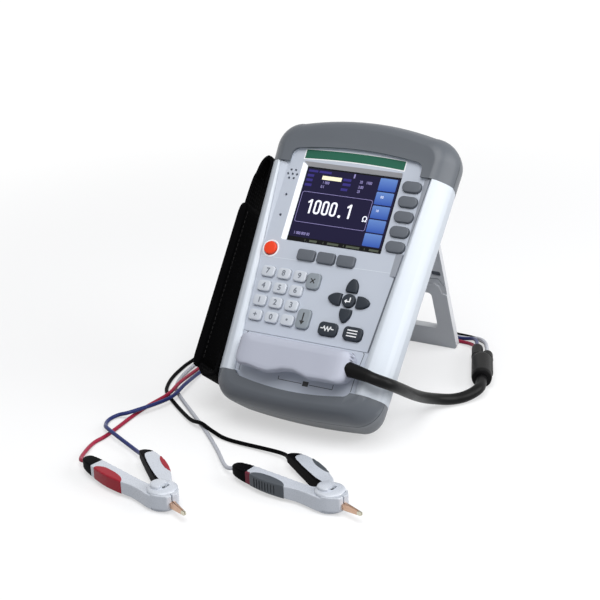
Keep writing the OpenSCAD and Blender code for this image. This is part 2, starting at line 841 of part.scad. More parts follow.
function normal_at(path, i) = let (a = path[max(i - 1, 0)], b = path[min(i + 1, len(path) - 1)],
    d = (b - a) / norm(b - a)) [-d[1], d[0]];
function ribbon(path, t) = concat([for (i = [0:len(path) - 1]) path[i] + normal_at(path, i) * t / 2],
    [for (i = [len(path) - 1:-1:0]) path[i] - normal_at(path, i) * t / 2]);

module hand_strap() {
    color(rubber_black) in_case() union() {
        translate([0, 0, -strap_z - webbing_w / 2]) linear_extrude(webbing_w)
            polygon(ribbon(strap_route, webbing_t));
        translate([0, 0, -strap_z - pad_w / 2]) linear_extrude(pad_w)
            polygon([[-strap_out + pad_nose, pad_low], [-strap_out + pad_t - pad_nose, pad_low],
                [-strap_out + pad_t, pad_low + pad_chamfer], [-strap_out + pad_t, pad_high - pad_chamfer],
                [-strap_out + pad_t - pad_nose, pad_high], [-strap_out + pad_nose, pad_high],
                [-strap_out, pad_high - pad_chamfer], [-strap_out, pad_low + pad_chamfer]]);
    }
}

bar_h = 10;
window_r = 3;
notch_h = 20;
tray_h = 20;
tray_floor = 3.4;
module stand() {
    l = stand_reach + stand_t;
    inner_w = stand_w - 2 * leg_w;
    window_top = foot_h - stand_reach + opening_h;
    color(stand_grey) difference() {
        in_case() translate([0, hinge_y, hinge_z]) rotate([stand_open, 0, 0]) {
            difference() {
                translate([-stand_w / 2, -l, -stand_t / 2]) cube([stand_w, l + heel_l, stand_t]);
                translate([0, window_top - opening_h / 2, -stand_t]) linear_extrude(2 * stand_t)
                    rounded(inner_w, opening_h, window_r);
                translate([-inner_w / 2, window_top + bar_h, -stand_t]) cube([inner_w, notch_h, 2 * stand_t]);
                translate([-inner_w / 2, window_top + bar_h + notch_h - overlap, tray_floor - stand_t / 2])
                    cube([inner_w, tray_h + overlap, stand_t]);
            }
            for (s = [-1, 1]) translate([s * (stand_w / 2 - overlap), 0, 0]) rotate([0, s * 90, 0])
                cylinder(d = pin_d, h = pin_l + overlap);
        }
        translate([-big / 2, -big / 2, -big]) cube([big, big, big]);
    }
}

// Plug housing: a rounded block with a finger wave along its lower side
plug_r = 5;
plug_crown = 4;
plug_seat = 0.05;
plug_wave = 2.2;
wave_x = -14;
wave_w = 26;
plug_steps = [0, 0.4, 0.8, 1];
wave_steps = 10;
function wave(x) = let (t = (x - wave_x) / wave_w) abs(t) < 1 ? plug_wave * pow(cos(90 * t), 2) : 0;
function plug_ring(z, inset) = let (w = plug_w / 2 - inset, h = plug_h / 2 - inset, r = plug_r - inset / 2)
    [for (p = concat(corner(w - r, h - r, r, 0), corner(r - w, h - r, r, 90),
        corner(r - w, r - h, r, 180),
        [for (i = [1:wave_steps - 1]) [(r - w) + 2 * (w - r) * i / wave_steps, -h]],
        corner(w - r, r - h, r, 270)))
        [p[0], p[1] - (p[1] < r - h ? wave(p[0]) : 0), z]];

function plug_round(u) = plug_crown * (1 - sqrt(1 - pow(1 - u, 2)));
module plug_housing() {
    color(plug_grey) in_case() translate([0, -plug_y, 0])
        loft(concat([for (u = plug_steps) plug_ring(plug_t - plug_crown * u, plug_round(u))],
            [plug_ring(plug_seat, 0)]));
}

module plug_pins() {
    color(steel) in_case() for (i = [0:pin_count - 1])
        translate([contact_x(i), -plug_y, plug_seat - contact_l])
            cylinder(d = contact_d, h = contact_l);
}

// A cord is a tube of rings across its route
function along(route, i) = let (a = route[max(i - 1, 0)], b = route[min(i + 1, len(route) - 1)])
    (b - a) / norm(b - a);
function level_across(d) = let (v = cross(d, [0, 0, 1])) norm(v) < 0.01 ? [1, 0, 0] : v / norm(v);
function cord_ring(route, i, r, sides) = let (d = along(route, i), u = level_across(d), v = cross(u, d))
    [for (k = [0:sides - 1]) let (a = 360 * (k + 0.5) / sides) route[i] + r * (cos(a) * u + sin(a) * v)];

module cord(route, d, sides) {
    loft([for (i = [0:len(route) - 1]) cord_ring(route, i, d / 2, sides)]);
}

// Splitter: a barrel on the floor that ends in two lobes, each with a pair of wires
split_gap = 0.1;
split_at = [82.5, 73, barrel_d / 2 + split_gap];
split_turn = 113.5;
split_dir = [cos(split_turn), sin(split_turn), 0];
split_side = [-sin(split_turn), cos(split_turn), 0];
barrel_l = 34;
lobe_d = 8.6;
lobe_long = 56;
lobe_short = 44;
lobe_left = 3.2;
lobe_right = -4;
wire_pair = 1.8;
function lobe_exit(l, side, high) = split_at + l * split_dir + side * split_side + [0, 0, high];

// Routes of the lead and the wires, from the floor point under the middle of the key panel
lead_height = 8.5;
cable_gap = 0.3;
plug_end = [plug_w / 2, -plug_y * sin(lean) - lead_height * cos(lean),
    case_h - plug_y * cos(lean) + lead_height * sin(lean)];
lead_route = [plug_end, [54.5, -52.5, 56.5], [62.5, -52.5, 54.8], [69, -47, 50.5], [70.5, -34, 42.2],
    [69, -18, 32.4], [66.5, -2, 23.2], [65.5, 14, 14.5], [68, 27, 8.5], [74.5, 38, 4.8],
    [81.5, 47.5, 4.6], [86.4, 59, 6.8], split_at - cable_gap * split_dir];
red_route = [lobe_exit(lobe_long, lobe_left, -wire_pair), [47, 137, 3], [33, 142, 1.6], [4, 142, 1.6],
    [-20, 145.8, 1.6], [-56, 142, 1.6], [-88, 119, 1.6], [-112, 82, 1.6], [-121.5, 45, 1.6],
    [-119.5, 6, 2.6], [-115.5, -20, 4.9], [-112, -41, 4.9], [-118.5, -65, 1.6], [-117, -106, 1.6],
    [-118, -124, 1.6]];
blue_route = [lobe_exit(lobe_long, lobe_left, wire_pair), [47, 141, 6], [33, 146, 2.4], [12, 145.6, 2.4],
    [-6, 143.8, 5.4], [-24, 141.6, 2], [-54, 139.2, 1.6], [-85, 115.5, 1.6], [-107, 80.5, 1.6],
    [-116.5, 45, 1.6], [-115, 5, 2.6], [-110.5, -20, 4.9], [-107.6, -46, 4.9], [-118.7, -75.5, 5],
    [-127.5, -79.5, 2.4], [-130.2, -87, 1.6], [-126.5, -96.5, 2.4], [-116.8, -106, 5]];
white_route = [lobe_exit(lobe_short, lobe_right, wire_pair), [60, 132, 8.4], [48, 146, 4.6],
    [33, 149.8, 1.6], [-20, 150.4, 1.6], [-59, 146.4, 1.6], [-92, 122, 1.6], [-117, 84, 1.6],
    [-127.5, 45, 1.6], [-126, 6, 1.6], [-119.5, -18, 1.6], [-109, -31.5, 1.6], [-62, -71, 1.6],
    [-38, -93, 1.6]];
black_route = [lobe_exit(lobe_short, lobe_right, -wire_pair), [60, 134, 4.4], [50, 149, 1.8],
    [33, 153.6, 1.6], [-20, 154.4, 1.6], [-62, 150.4, 1.6], [-97, 124.5, 1.6], [-122.5, 85, 1.6],
    [-133.5, 45, 1.6], [-132, 4, 1.6], [-124.5, -23, 1.6], [-112.5, -38, 1.6], [-79, -63.5, 2.6],
    [-64, -70.6, 5], [-52, -74.2, 2.6], [-36, -78.4, 1.6]];

// Clips lie on their sides, each in its own frame with the pivot at the origin
red_pivot = [-27.7, -171.5];
red_turn = -11;
grey_pivot = [68.2, -128.2];
grey_turn = -3.5;
clip_lift = 0.1;
clip_mid = clip_lift + clip_t / 2;
tongue_t = 5.4;
layer_gap = 0.3;
arm_t = 12.4;
hub_gap = 0.4;
pivot_fit = 0.08;
pin_inset = 0.3;
cap_d = 13;
cap_t = 1.4;
nose_x = 16;
nose_w = 4.4;
jaw_gap = 0.15;
jaw_root = 3.2;
jaw_tip = 1;
wire_in = 0.1;
wire_gap = 0.3;
tail_y = 4;
tail_z = 6;

// A point of a clip's frame in the frame of the floor
function clip_point(pivot, turn, x, y, z) = [pivot[0] + x * cos(turn) - y * sin(turn),
    pivot[1] + x * sin(turn) + y * cos(turn), z];
function arm_end(pivot, turn, approach) = [
    clip_point(pivot, turn, approach[0] - arm_l, approach[1], approach[2]),
    clip_point(pivot, turn, -arm_l - wire_in, tail_y, tail_z)];
function lever_end(pivot, turn, approach) = let (t = turn - clip_open)
    [clip_point(pivot, t, approach[0] - lever_l, approach[1], approach[2]),
    clip_point(pivot, t, -lever_l - wire_gap, tail_y, tail_z)];

module clip_place(pivot, turn) {
    translate([shift_x + pivot[0], shift_y + pivot[1], 0]) rotate([0, 0, turn]) children();
}

// Fixed arm seen from above, its inner edge on the upper side
arm_shape = [[-arm_l, 1], [-arm_l * 0.97, -2.6], [-arm_l * 0.86, -6.4], [-arm_l * 0.7, -9],
    [-arm_l * 0.5, -9.6], [-arm_l * 0.34, -8.4], [-arm_l * 0.2, -8.2], [-4, -hub_d / 2], [8, -9],
    [nose_x, -6.6], [nose_x + 1, -5], [nose_x, -4.6], [6, -2], [0, 0], [-9, 0.4], [-arm_l * 0.26, 1],
    [-arm_l * 0.5, 2.8], [-arm_l * 0.78, 5.4], [-arm_l * 0.96, 8.4], [-arm_l, 7.6]];
// Lever seen from above, its inner edge on the lower side
lever_shape = [[-lever_l, 0.8], [-lever_l * 0.97, 0.1], [-12, 0.1], [-hub_d / 2, 1], [-hub_d / 2, 7],
    [-lever_l * 0.3, 10], [-lever_l * 0.5, 12.6], [-lever_l * 0.72, 12.6], [-lever_l * 0.92, 9.6],
    [-lever_l * 0.99, 7.4]];

module pivot_bore() {
    translate([0, 0, clip_lift - overlap]) cylinder(d = pivot_d + 2 * pivot_fit, h = clip_t + overlap);
}

// Fixed arm: two hub plates above and below the lever's tongue, a cap on top
module fixed_arm() {
    difference() {
        union() {
            translate([0, 0, clip_lift]) linear_extrude(arm_t) polygon(arm_shape);
            translate([0, 0, clip_lift]) cylinder(d = hub_d, h = clip_t);
            translate([0, 0, clip_lift + clip_t]) cylinder(d = cap_d, h = cap_t);
        }
        translate([0, 0, clip_mid - tongue_t / 2 - layer_gap])
            cylinder(d = hub_d + 2 * hub_gap, h = tongue_t + 2 * layer_gap);
        rotate(-jaw_bend) {
            translate([hub_d / 2, -jaw_gap, 0]) cube([hub_d, hub_d, clip_lift + arm_t + overlap]);
            translate([nose_x, -hub_d, 0]) cube([hub_d, 2 * hub_d, 2 * clip_t]);
        }
        pivot_bore();
    }
    rotate(-jaw_bend) translate([0, 0, clip_mid - tongue_t / 2]) linear_extrude(tongue_t)
        polygon([[hub_d / 2 + hub_gap, -nose_w], [hub_d / 2 + 2, -jaw_gap], [nose_x, -jaw_gap],
            [nose_x, -nose_w]]);
}

// Lever: a tongue between the hub plates, the grip behind it and a nose ahead
module lever_arm() {
    difference() {
        union() {
            difference() {
                translate([0, 0, clip_lift]) linear_extrude(arm_t) polygon(lever_shape);
                cylinder(d = hub_d + 2 * hub_gap, h = big, center = true);
            }
            translate([0, 0, clip_mid - tongue_t / 2]) {
                cylinder(d = hub_d - 3, h = tongue_t);
                linear_extrude(tongue_t)
                    polygon([[-hub_d / 2 - 2, 1.4], [-2, 0.6], [-2, 7], [-hub_d / 2 - 2, 7]]);
            }
            rotate(clip_open - jaw_bend) translate([0, 0, clip_mid - tongue_t / 2]) linear_extrude(tongue_t)
                polygon([[0, jaw_gap], [nose_x, jaw_gap], [nose_x, nose_w], [6, 6]]);
        }
        pivot_bore();
    }
}

module jaw_plate(side) {
    translate([0, 0, clip_mid - jaw_t / 2]) linear_extrude(jaw_t)
        polygon([[nose_x, side * jaw_gap], [jaw_l, side * jaw_gap], [jaw_l - 1, side * jaw_tip],
            [nose_x, side * jaw_root]]);
}

module lead_splitter() {
    color(rubber_black) on_floor() translate(split_at) rotate([0, 0, split_turn]) rotate([0, 90, 0]) {
        cylinder(d = barrel_d, h = barrel_l);
        translate([0, lobe_left, 0]) cylinder(d = lobe_d, h = lobe_long);
        translate([0, lobe_right, 0]) cylinder(d = lobe_d, h = lobe_short);
    }
}

module lead_cable() {
    color(rubber_black) on_floor() cord(lead_route, lead_d, 12);
}

module wire_red() {
    color("#c23a56") on_floor()
        cord(concat(red_route, arm_end(red_pivot, red_turn, [-8, 7, 4.4])), wire_d, 8);
}

module wire_blue() {
    color("#3a4688") on_floor()
        cord(concat(blue_route, lever_end(red_pivot, red_turn, [-16, 2, 4])), wire_d, 8);
}

module wire_black() {
    color(rubber_black) on_floor()
        cord(concat(black_route, lever_end(grey_pivot, grey_turn, [-16, 5, 3.6])), wire_d, 8);
}

module wire_white() {
    color("#b9bcc4") on_floor()
        cord(concat(white_route, arm_end(grey_pivot, grey_turn, [-10, 8, 3.6])), wire_d, 8);
}

clip_white = "#dfe4f0";
module clip_handles() {
    color(clip_white) {
        clip_place(red_pivot, red_turn) fixed_arm();
        clip_place(grey_pivot, grey_turn) fixed_arm();
    }
}

module clip_jaws() {
    color(copper) {
        clip_place(red_pivot, red_turn - jaw_bend) jaw_plate(-1);
        clip_place(grey_pivot, grey_turn - jaw_bend) jaw_plate(-1);
    }
}

module clip_pivots() {
    color(steel) for (pivot = [red_pivot, grey_pivot]) clip_place(pivot, 0)
        translate([0, 0, clip_lift + pin_inset]) cylinder(d = pivot_d, h = clip_t - pin_inset);
}

module red_lever() {
    color(clip_white) clip_place(red_pivot, red_turn - clip_open) lever_arm();
}

module grey_lever() {
    color(clip_white) clip_place(grey_pivot, grey_turn - clip_open) lever_arm();
}

module red_lever_jaw() {
    color(copper) clip_place(red_pivot, red_turn - jaw_bend) jaw_plate(1);
}

module grey_lever_jaw() {
    color(copper) clip_place(grey_pivot, grey_turn - jaw_bend) jaw_plate(1);
}

front_case();
rear_case();
top_bumper();
bottom_bumper();
face_panel();
screen_lens();
display_module();
main_board();
keypad_mat();
battery_pack();
battery_cover();
socket_block();
case_screws();
hand_strap();
stand();
soft_key(0);  // soft_key_1
soft_key(1);  // soft_key_2
soft_key(2);  // soft_key_3
soft_key(3);  // soft_key_4
soft_key(4);  // soft_key_5
function_key(0);  // function_key_1
function_key(1);  // function_key_2
function_key(2);  // function_key_3
power_key();
grid_key(number_at(0));  // number_key_0
grid_key(number_at(1));  // number_key_1
grid_key(number_at(2));  // number_key_2
grid_key(number_at(3));  // number_key_3
grid_key(number_at(4));  // number_key_4
grid_key(number_at(5));  // number_key_5
grid_key(number_at(6));  // number_key_6
grid_key(number_at(7));  // number_key_7
grid_key(number_at(8));  // number_key_8
grid_key(number_at(9));  // number_key_9
grid_key(grid_at(0, 3));  // sign_key
grid_key(grid_at(2, 3));  // point_key
side_key(escape_at, escape_h);  // escape_key
side_key(backspace_at, backspace_h);  // backspace_key
arrow_key(0);  // arrow_right_key
arrow_key(1);  // arrow_up_key
arrow_key(2);  // arrow_left_key
arrow_key(3);  // arrow_down_key
centre_key();
wide_key(measure_at);  // measure_key
wide_key(setup_at);  // setup_key
plug_housing();
plug_pins();
lead_cable();
lead_splitter();
wire_red();
wire_blue();
wire_black();
wire_white();
clip_handles();
clip_jaws();
clip_pivots();
red_lever();
red_lever_jaw();
grey_lever();
grey_lever_jaw();
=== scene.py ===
# Handheld ohmmeter on its folding stand, with a four-wire clip lead
import json
import math
import bmesh
import bpy
from mathutils import Matrix, Vector

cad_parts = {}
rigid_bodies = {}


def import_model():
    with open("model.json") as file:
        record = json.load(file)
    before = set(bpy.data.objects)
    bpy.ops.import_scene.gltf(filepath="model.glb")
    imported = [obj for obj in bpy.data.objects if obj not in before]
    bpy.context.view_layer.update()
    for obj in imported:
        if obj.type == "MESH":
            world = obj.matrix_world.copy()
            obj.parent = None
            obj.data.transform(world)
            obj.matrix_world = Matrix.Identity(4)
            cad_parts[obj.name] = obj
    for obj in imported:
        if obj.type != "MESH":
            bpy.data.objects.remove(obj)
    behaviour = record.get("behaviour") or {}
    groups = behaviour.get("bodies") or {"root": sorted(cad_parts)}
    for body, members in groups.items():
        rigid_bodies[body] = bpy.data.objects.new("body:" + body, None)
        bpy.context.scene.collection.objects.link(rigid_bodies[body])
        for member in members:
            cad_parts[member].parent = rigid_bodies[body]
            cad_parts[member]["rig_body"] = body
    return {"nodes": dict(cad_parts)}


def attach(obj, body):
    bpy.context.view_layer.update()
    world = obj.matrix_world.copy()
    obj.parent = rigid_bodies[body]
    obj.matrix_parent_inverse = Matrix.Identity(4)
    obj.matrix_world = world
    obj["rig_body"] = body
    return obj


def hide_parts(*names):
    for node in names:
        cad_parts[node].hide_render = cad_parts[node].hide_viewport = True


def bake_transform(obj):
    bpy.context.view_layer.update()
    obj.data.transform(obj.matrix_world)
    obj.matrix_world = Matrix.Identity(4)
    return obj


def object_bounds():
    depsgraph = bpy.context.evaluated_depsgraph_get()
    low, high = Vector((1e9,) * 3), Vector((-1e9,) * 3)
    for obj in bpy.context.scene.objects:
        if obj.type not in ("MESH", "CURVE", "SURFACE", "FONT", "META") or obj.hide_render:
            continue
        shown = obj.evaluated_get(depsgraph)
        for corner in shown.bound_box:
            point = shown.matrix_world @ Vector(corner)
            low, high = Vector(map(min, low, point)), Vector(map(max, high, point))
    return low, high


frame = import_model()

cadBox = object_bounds()
mm = 0.001

# Where the standing case and the floor are in the frame, in millimetres and degrees
standing = {"shiftX": 8.25, "shiftY": -35.8843, "height": 108.509, "lean": 38}
origin = Vector((standing["shiftX"], standing["shiftY"], 0)) * mm
floorPlace = Matrix.Translation(origin) @ Matrix.Scale(mm, 4)
casePlace = (Matrix.Translation(origin + Vector((0, 0, standing["height"] * mm)))
    @ Matrix.Rotation(math.radians(90 - standing["lean"]), 4, "X") @ Matrix.Scale(mm, 4))


# Small tools for meshes
def newPiece(name, points, faces):
    mesh = bpy.data.meshes.new(name)
    mesh.from_pydata([tuple(p) for p in points], [], faces)
    piece = bpy.data.objects.new(name, mesh)
    bpy.context.scene.collection.objects.link(piece)
    return piece


def turnOutwards(piece):
    work = bmesh.new()
    work.from_mesh(piece.data)
    bmesh.ops.recalc_face_normals(work, faces=work.faces)
    work.to_mesh(piece.data)
    work.free()
    return piece


def loft(name, rings):
    # A closed skin over rings of equally many points
    count = len(rings[0])
    points = [p for ring in rings for p in ring]
    faces = []
    for low in range(0, (len(rings) - 1) * count, count):
        high = low + count
        faces += [(low + i, low + (i + 1) % count, high + (i + 1) % count, high + i) for i in range(count)]
    faces += [tuple(reversed(range(count))), tuple(range((len(rings) - 1) * count, len(rings) * count))]
    return turnOutwards(newPiece(name, points, faces))


def prism(name, outline, low, high):
    return loft(name, [[(p[0], p[1], z) for p in outline] for z in (low, high)])


def block(name, low, high):
    outline = [(low[0], low[1]), (high[0], low[1]), (high[0], high[1]), (low[0], high[1])]
    return prism(name, outline, low[2], high[2])


def applyModifiers(piece):
    graph = bpy.context.evaluated_depsgraph_get()
    mesh = bpy.data.meshes.new_from_object(piece.evaluated_get(graph))
    piece.modifiers.clear()
    old, piece.data = piece.data, mesh
    bpy.data.meshes.remove(old)
    return piece


def carve(piece, tool, operation="DIFFERENCE"):
    change = piece.modifiers.new("carve", "BOOLEAN")
    change.object, change.operation, change.solver = tool, operation, "MANIFOLD"
    applyModifiers(piece)
    bpy.data.objects.remove(tool)
    return piece


def joinPieces(name, parts):
    work = bmesh.new()
    for part in parts:
        work.from_mesh(part.data)
        bpy.data.objects.remove(part)
    piece = newPiece(name, [], [])
    work.to_mesh(piece.data)
    work.free()
    return piece


def cadCopy(name, node):
    # A CAD mesh is loose triangles: the copy is merged and its flat faces are made whole
    piece = newPiece(name, [], [])
    work = bmesh.new()
    work.from_mesh(frame["nodes"][node].data)
    bmesh.ops.remove_doubles(work, verts=work.verts, dist=0.002 * mm)
    bmesh.ops.dissolve_limit(work, angle_limit=math.radians(0.8), verts=work.verts, edges=work.edges)
    work.to_mesh(piece.data)
    work.free()
    return piece


def shade(piece, sharp=38):
    piece.data.shade_smooth()
    piece.data.set_sharp_from_angle(angle=math.radians(sharp))
    return piece


def soften(piece, width, angle=40, flat=None):
    # Rounded edges, width in millimetres; faces square to the axes of the flat matrix stay quite flat
    edge = piece.modifiers.new("edge", "BEVEL")
    edge.width, edge.segments, edge.limit_method = width * mm, 2, "ANGLE"
    edge.angle_limit = math.radians(angle)
    edge.miter_outer = "MITER_ARC"
    shade(applyModifiers(piece), angle)
    even = piece.modifiers.new("even", "WEIGHTED_NORMAL")
    even.keep_sharp = True
    applyModifiers(piece)
    if flat is not None:
        axes = [flat.to_3x3().normalized().col[i] for i in range(3)]
        corners = [tuple(c.vector) for c in piece.data.corner_normals]
        for face in piece.data.polygons:
            near = [axis for axis in axes if abs(face.normal.dot(axis)) > math.cos(math.radians(0.6))]
            for i in face.loop_indices if near else ():
                corners[i] = tuple(face.normal)
        piece.data.normals_split_custom_set(corners)
    return piece


def bodyOf(node):
    return frame["nodes"][node]["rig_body"]


def place(piece, matrix, surface, body, nodes=()):
    if matrix is not None:
        piece.data.transform(matrix)
    piece.data.materials.clear()
    piece.data.materials.append(surface)
    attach(piece, body)
    if nodes:
        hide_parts(*nodes)
    return piece


# Small tools for materials
def tone(code):
    parts = [int(code[i:i + 2], 16) / 255 for i in (1, 3, 5)]
    return tuple([c / 12.92 if c <= 0.04045 else ((c + 0.055) / 1.055) ** 2.4 for c in parts] + [1.0])


def feed(tree, node, inputs):
    # An input takes a plain value or the socket of another node
    for key, value in inputs.items():
        if isinstance(value, bpy.types.NodeSocket):
            tree.links.new(value, node.inputs[key])
        else:
            node.inputs[key].default_value = value


def addNode(tree, kind, settings=None, inputs=None):
    node = tree.nodes.new(kind)
    for key, value in (settings or {}).items():
        setattr(node, key, value)
    feed(tree, node, inputs or {})
    return node


def noise(tree, at, scale, detail, rough=0.5):
    return addNode(tree, "ShaderNodeTexNoise", None,
        {"Vector": at, "Scale": scale, "Detail": detail, "Roughness": rough}).outputs["Fac"]


def mixedColour(tree, share, first, second):
    return addNode(tree, "ShaderNodeMix", {"data_type": "RGBA"},
        {"Factor": share, "A": first, "B": second}).outputs["Result"]


def ranged(tree, value, low, high, start=0.0, end=1.0, way="LINEAR"):
    # Brings a value between start and end to one between low and high
    return addNode(tree, "ShaderNodeMapRange", {"interpolation_type": way},
        {"Value": value, "From Min": start, "From Max": end, "To Min": low, "To Max": high}).outputs["Result"]


def worked(tree, operation, first, second):
    return addNode(tree, "ShaderNodeMath", {"operation": operation}, {0: first, 1: second}).outputs[0]


def newMaterial(name):
    surface = bpy.data.materials.new(name)
    surface.use_nodes = True
    tree = surface.node_tree
    return surface, tree, tree.nodes["Principled BSDF"], addNode(tree, "ShaderNodeTexCoord").outputs["Object"]


def moulded(name, look):
    # Moulded plastic and rubber: a faint cloud in the colour, a spark-eroded grain and a rubbed edge
    surface, tree, shader, at = newMaterial(name)
    cloud = noise(tree, at, 1000 / 35, 3.0)
    grain = noise(tree, at, 1000 / look["grainMm"], 2.0, 0.6)
    shaded = mixedColour(tree, cloud, tone(look["colour"]), tone(look["dark"]))
    sharp = addNode(tree, "ShaderNodeNewGeometry").outputs["Pointiness"]
    rim = ranged(tree, sharp, 0.0, look.get("rub", 0.35), 0.52, 0.62)
    bump = addNode(tree, "ShaderNodeBump", None,
        {"Strength": look.get("bump", 0.25), "Distance": look["grainMm"] * mm * 0.2, "Height": grain})
    feed(tree, shader, {"Base Color": mixedColour(tree, rim, shaded, tone(look.get("edge", look["colour"]))),
        "Roughness": ranged(tree, grain, look["rough"] - 0.05, look["rough"] + 0.06, 0.3, 0.7),
        "Normal": bump.outputs["Normal"], "IOR": 1.5, "Specular IOR Level": look.get("spec", 0.5),
        "Coat Weight": look.get("coat", 0.0), "Coat Roughness": 0.1})
    return surface


# Finishes of the case
# Over-moulded TPE: dull grey with a wide soft glow
softTouchRubber = moulded("softTouchRubber", {"colour": "#595e65", "dark": "#52575e", "edge": "#787e84",
    "rough": 0.42, "grainMm": 0.45, "bump": 0.2, "spec": 0.45})
# Fine-textured ABS: near white, soft highlights
paleAbs = moulded("paleAbs", {"colour": "#ccd3dc", "dark": "#c4ccd6", "edge": "#e6ecf2",
    "rough": 0.42, "grainMm": 0.4, "bump": 0.15})
# Painted ABS key panel: pale lilac grey, even and dull
panelAbs = moulded("panelAbs", {"colour": "#bfc6d2", "dark": "#b8bfcc",
    "rough": 0.48, "grainMm": 0.35, "bump": 0.2, "rub": 0})
# White ABS: the power key's halo, and a painted highlight on the left slope round the screen
whiteAndHighlightAbs = moulded("whiteAndHighlightAbs", {"colour": "#f2f5f8", "dark": "#ecf0f4", "edge": "#f8fafc",
    "rough": 0.34, "grainMm": 0.4, "bump": 0.05})
# Painted shade on the upper slope round the screen: warm grey ABS
paintedShadeWarmAbs = moulded("paintedShadeWarmAbs", {"colour": "#a8a7a9", "dark": "#a09fa2", "edge": "#bcbcc0",
    "rough": 0.5, "grainMm": 0.35, "bump": 0.2})
# Painted shade on the wedges right of the keys: cool grey ABS
paintedShadeCoolAbs = moulded("paintedShadeCoolAbs", {"colour": "#9ea3ad", "dark": "#989da7",
    "rough": 0.5, "grainMm": 0.35, "bump": 0.2, "rub": 0})
# Painted shade in gaps and slot floors: dark grey, dull
gapShadeAbs = moulded("gapShadeAbs", {"colour": "#5a5f69", "dark": "#535862",
    "rough": 0.6, "grainMm": 0.35, "bump": 0.1, "rub": 0})
# Spark-eroded ABS: dull lilac grey
plugAbs = moulded("plugAbs", {"colour": "#b4b8c6", "dark": "#aaaebd", "edge": "#d6dae6",
    "rough": 0.5, "grainMm": 0.4, "bump": 0.25})
# Moulded ABS stand: pale grey, even and dull
standAbs = moulded("standAbs", {"colour": "#dddfe2", "dark": "#d4d6da",
    "rough": 0.46, "grainMm": 0.4, "bump": 0.2, "rub": 0})
# Glossy ABS clip shell: white with soft streaks of light
clipAbs = moulded("clipAbs", {"colour": "#c6cbd4", "dark": "#bcc2cc", "edge": "#eaeef2",
    "rough": 0.28, "grainMm": 0.6, "bump": 0.05, "coat": 0.3})
# Hard-coated silicone key: mid grey, faint sheen
greyKey = moulded("greyKey", {"colour": "#5e636b", "dark": "#565b63", "edge": "#7c8289",
    "rough": 0.45, "grainMm": 0.3, "bump": 0.15, "spec": 0.35})
# Hard-coated silicone key: lighter grey
sideKey = moulded("sideKey", {"colour": "#8a929a", "dark": "#80888f", "edge": "#9aa0a6",
    "rough": 0.45, "grainMm": 0.3, "bump": 0.15})
# Hard-coated silicone key: blue black
darkKey = moulded("darkKey", {"colour": "#1e2630", "dark": "#1a212a", "edge": "#454d57",
    "rough": 0.42, "grainMm": 0.3, "bump": 0.15, "spec": 0.3})
# Hard-coated silicone key: white
whiteKey = moulded("whiteKey", {"colour": "#c9ced6", "dark": "#c0c6cf", "edge": "#e4e8ec",
    "rough": 0.4, "grainMm": 0.3, "bump": 0.1})
# Hard-coated silicone key: orange red
powerKey = moulded("powerKey", {"colour": "#ee4218", "dark": "#e23a12", "edge": "#ff6a40",
    "rough": 0.38, "grainMm": 0.3, "bump": 0.1, "spec": 0.35})
# Moulded black PVC: deep black, a soft highlight along its top
blackRubber = moulded("blackRubber", {"colour": "#09090a", "dark": "#060607", "edge": "#19191b",
    "rough": 0.42, "grainMm": 0.5, "bump": 0.15, "spec": 0.1})
# Extruded PVC sheath: black, satin
cablePvc = moulded("cablePvc", {"colour": "#09090a", "dark": "#060607",
    "rough": 0.38, "grainMm": 0.8, "bump": 0.1, "rub": 0, "spec": 0.14})
wirePvc = {}
for name, colour, dark, gloss in (("Red", "#a42a46", "#92233c", 0.16), ("Blue", "#2e3870", "#262f62", 0.16),
        ("White", "#b9bcc4", "#aeb1ba", 0.5), ("Black", "#09090a", "#060607", 0.02)):
    # Extruded PVC wire: satin
    wirePvc[name] = moulded("wirePvc" + name, {"colour": colour, "dark": dark,
        "rough": 0.34, "grainMm": 0.8, "bump": 0.08, "rub": 0, "spec": gloss})
print("materials made")

# Camera at the photograph's viewing angle
eye = {"place": (0.50745, -0.92898, 0.48531), "turn": (68.474, 2.044, 29.513), "lens": 96}
cameraData = bpy.data.cameras.new("camera")
cameraData.lens = eye["lens"]
cameraData.sensor_width = 36
cameraData.clip_start, cameraData.clip_end = 0.01, 50
camera = bpy.data.objects.new("camera", cameraData)
camera.location = eye["place"]
camera.rotation_euler = [math.radians(a) for a in eye["turn"]]
bpy.context.scene.collection.objects.link(camera)
bpy.context.scene.camera = camera
bpy.context.scene.view_settings.view_transform = "Standard"

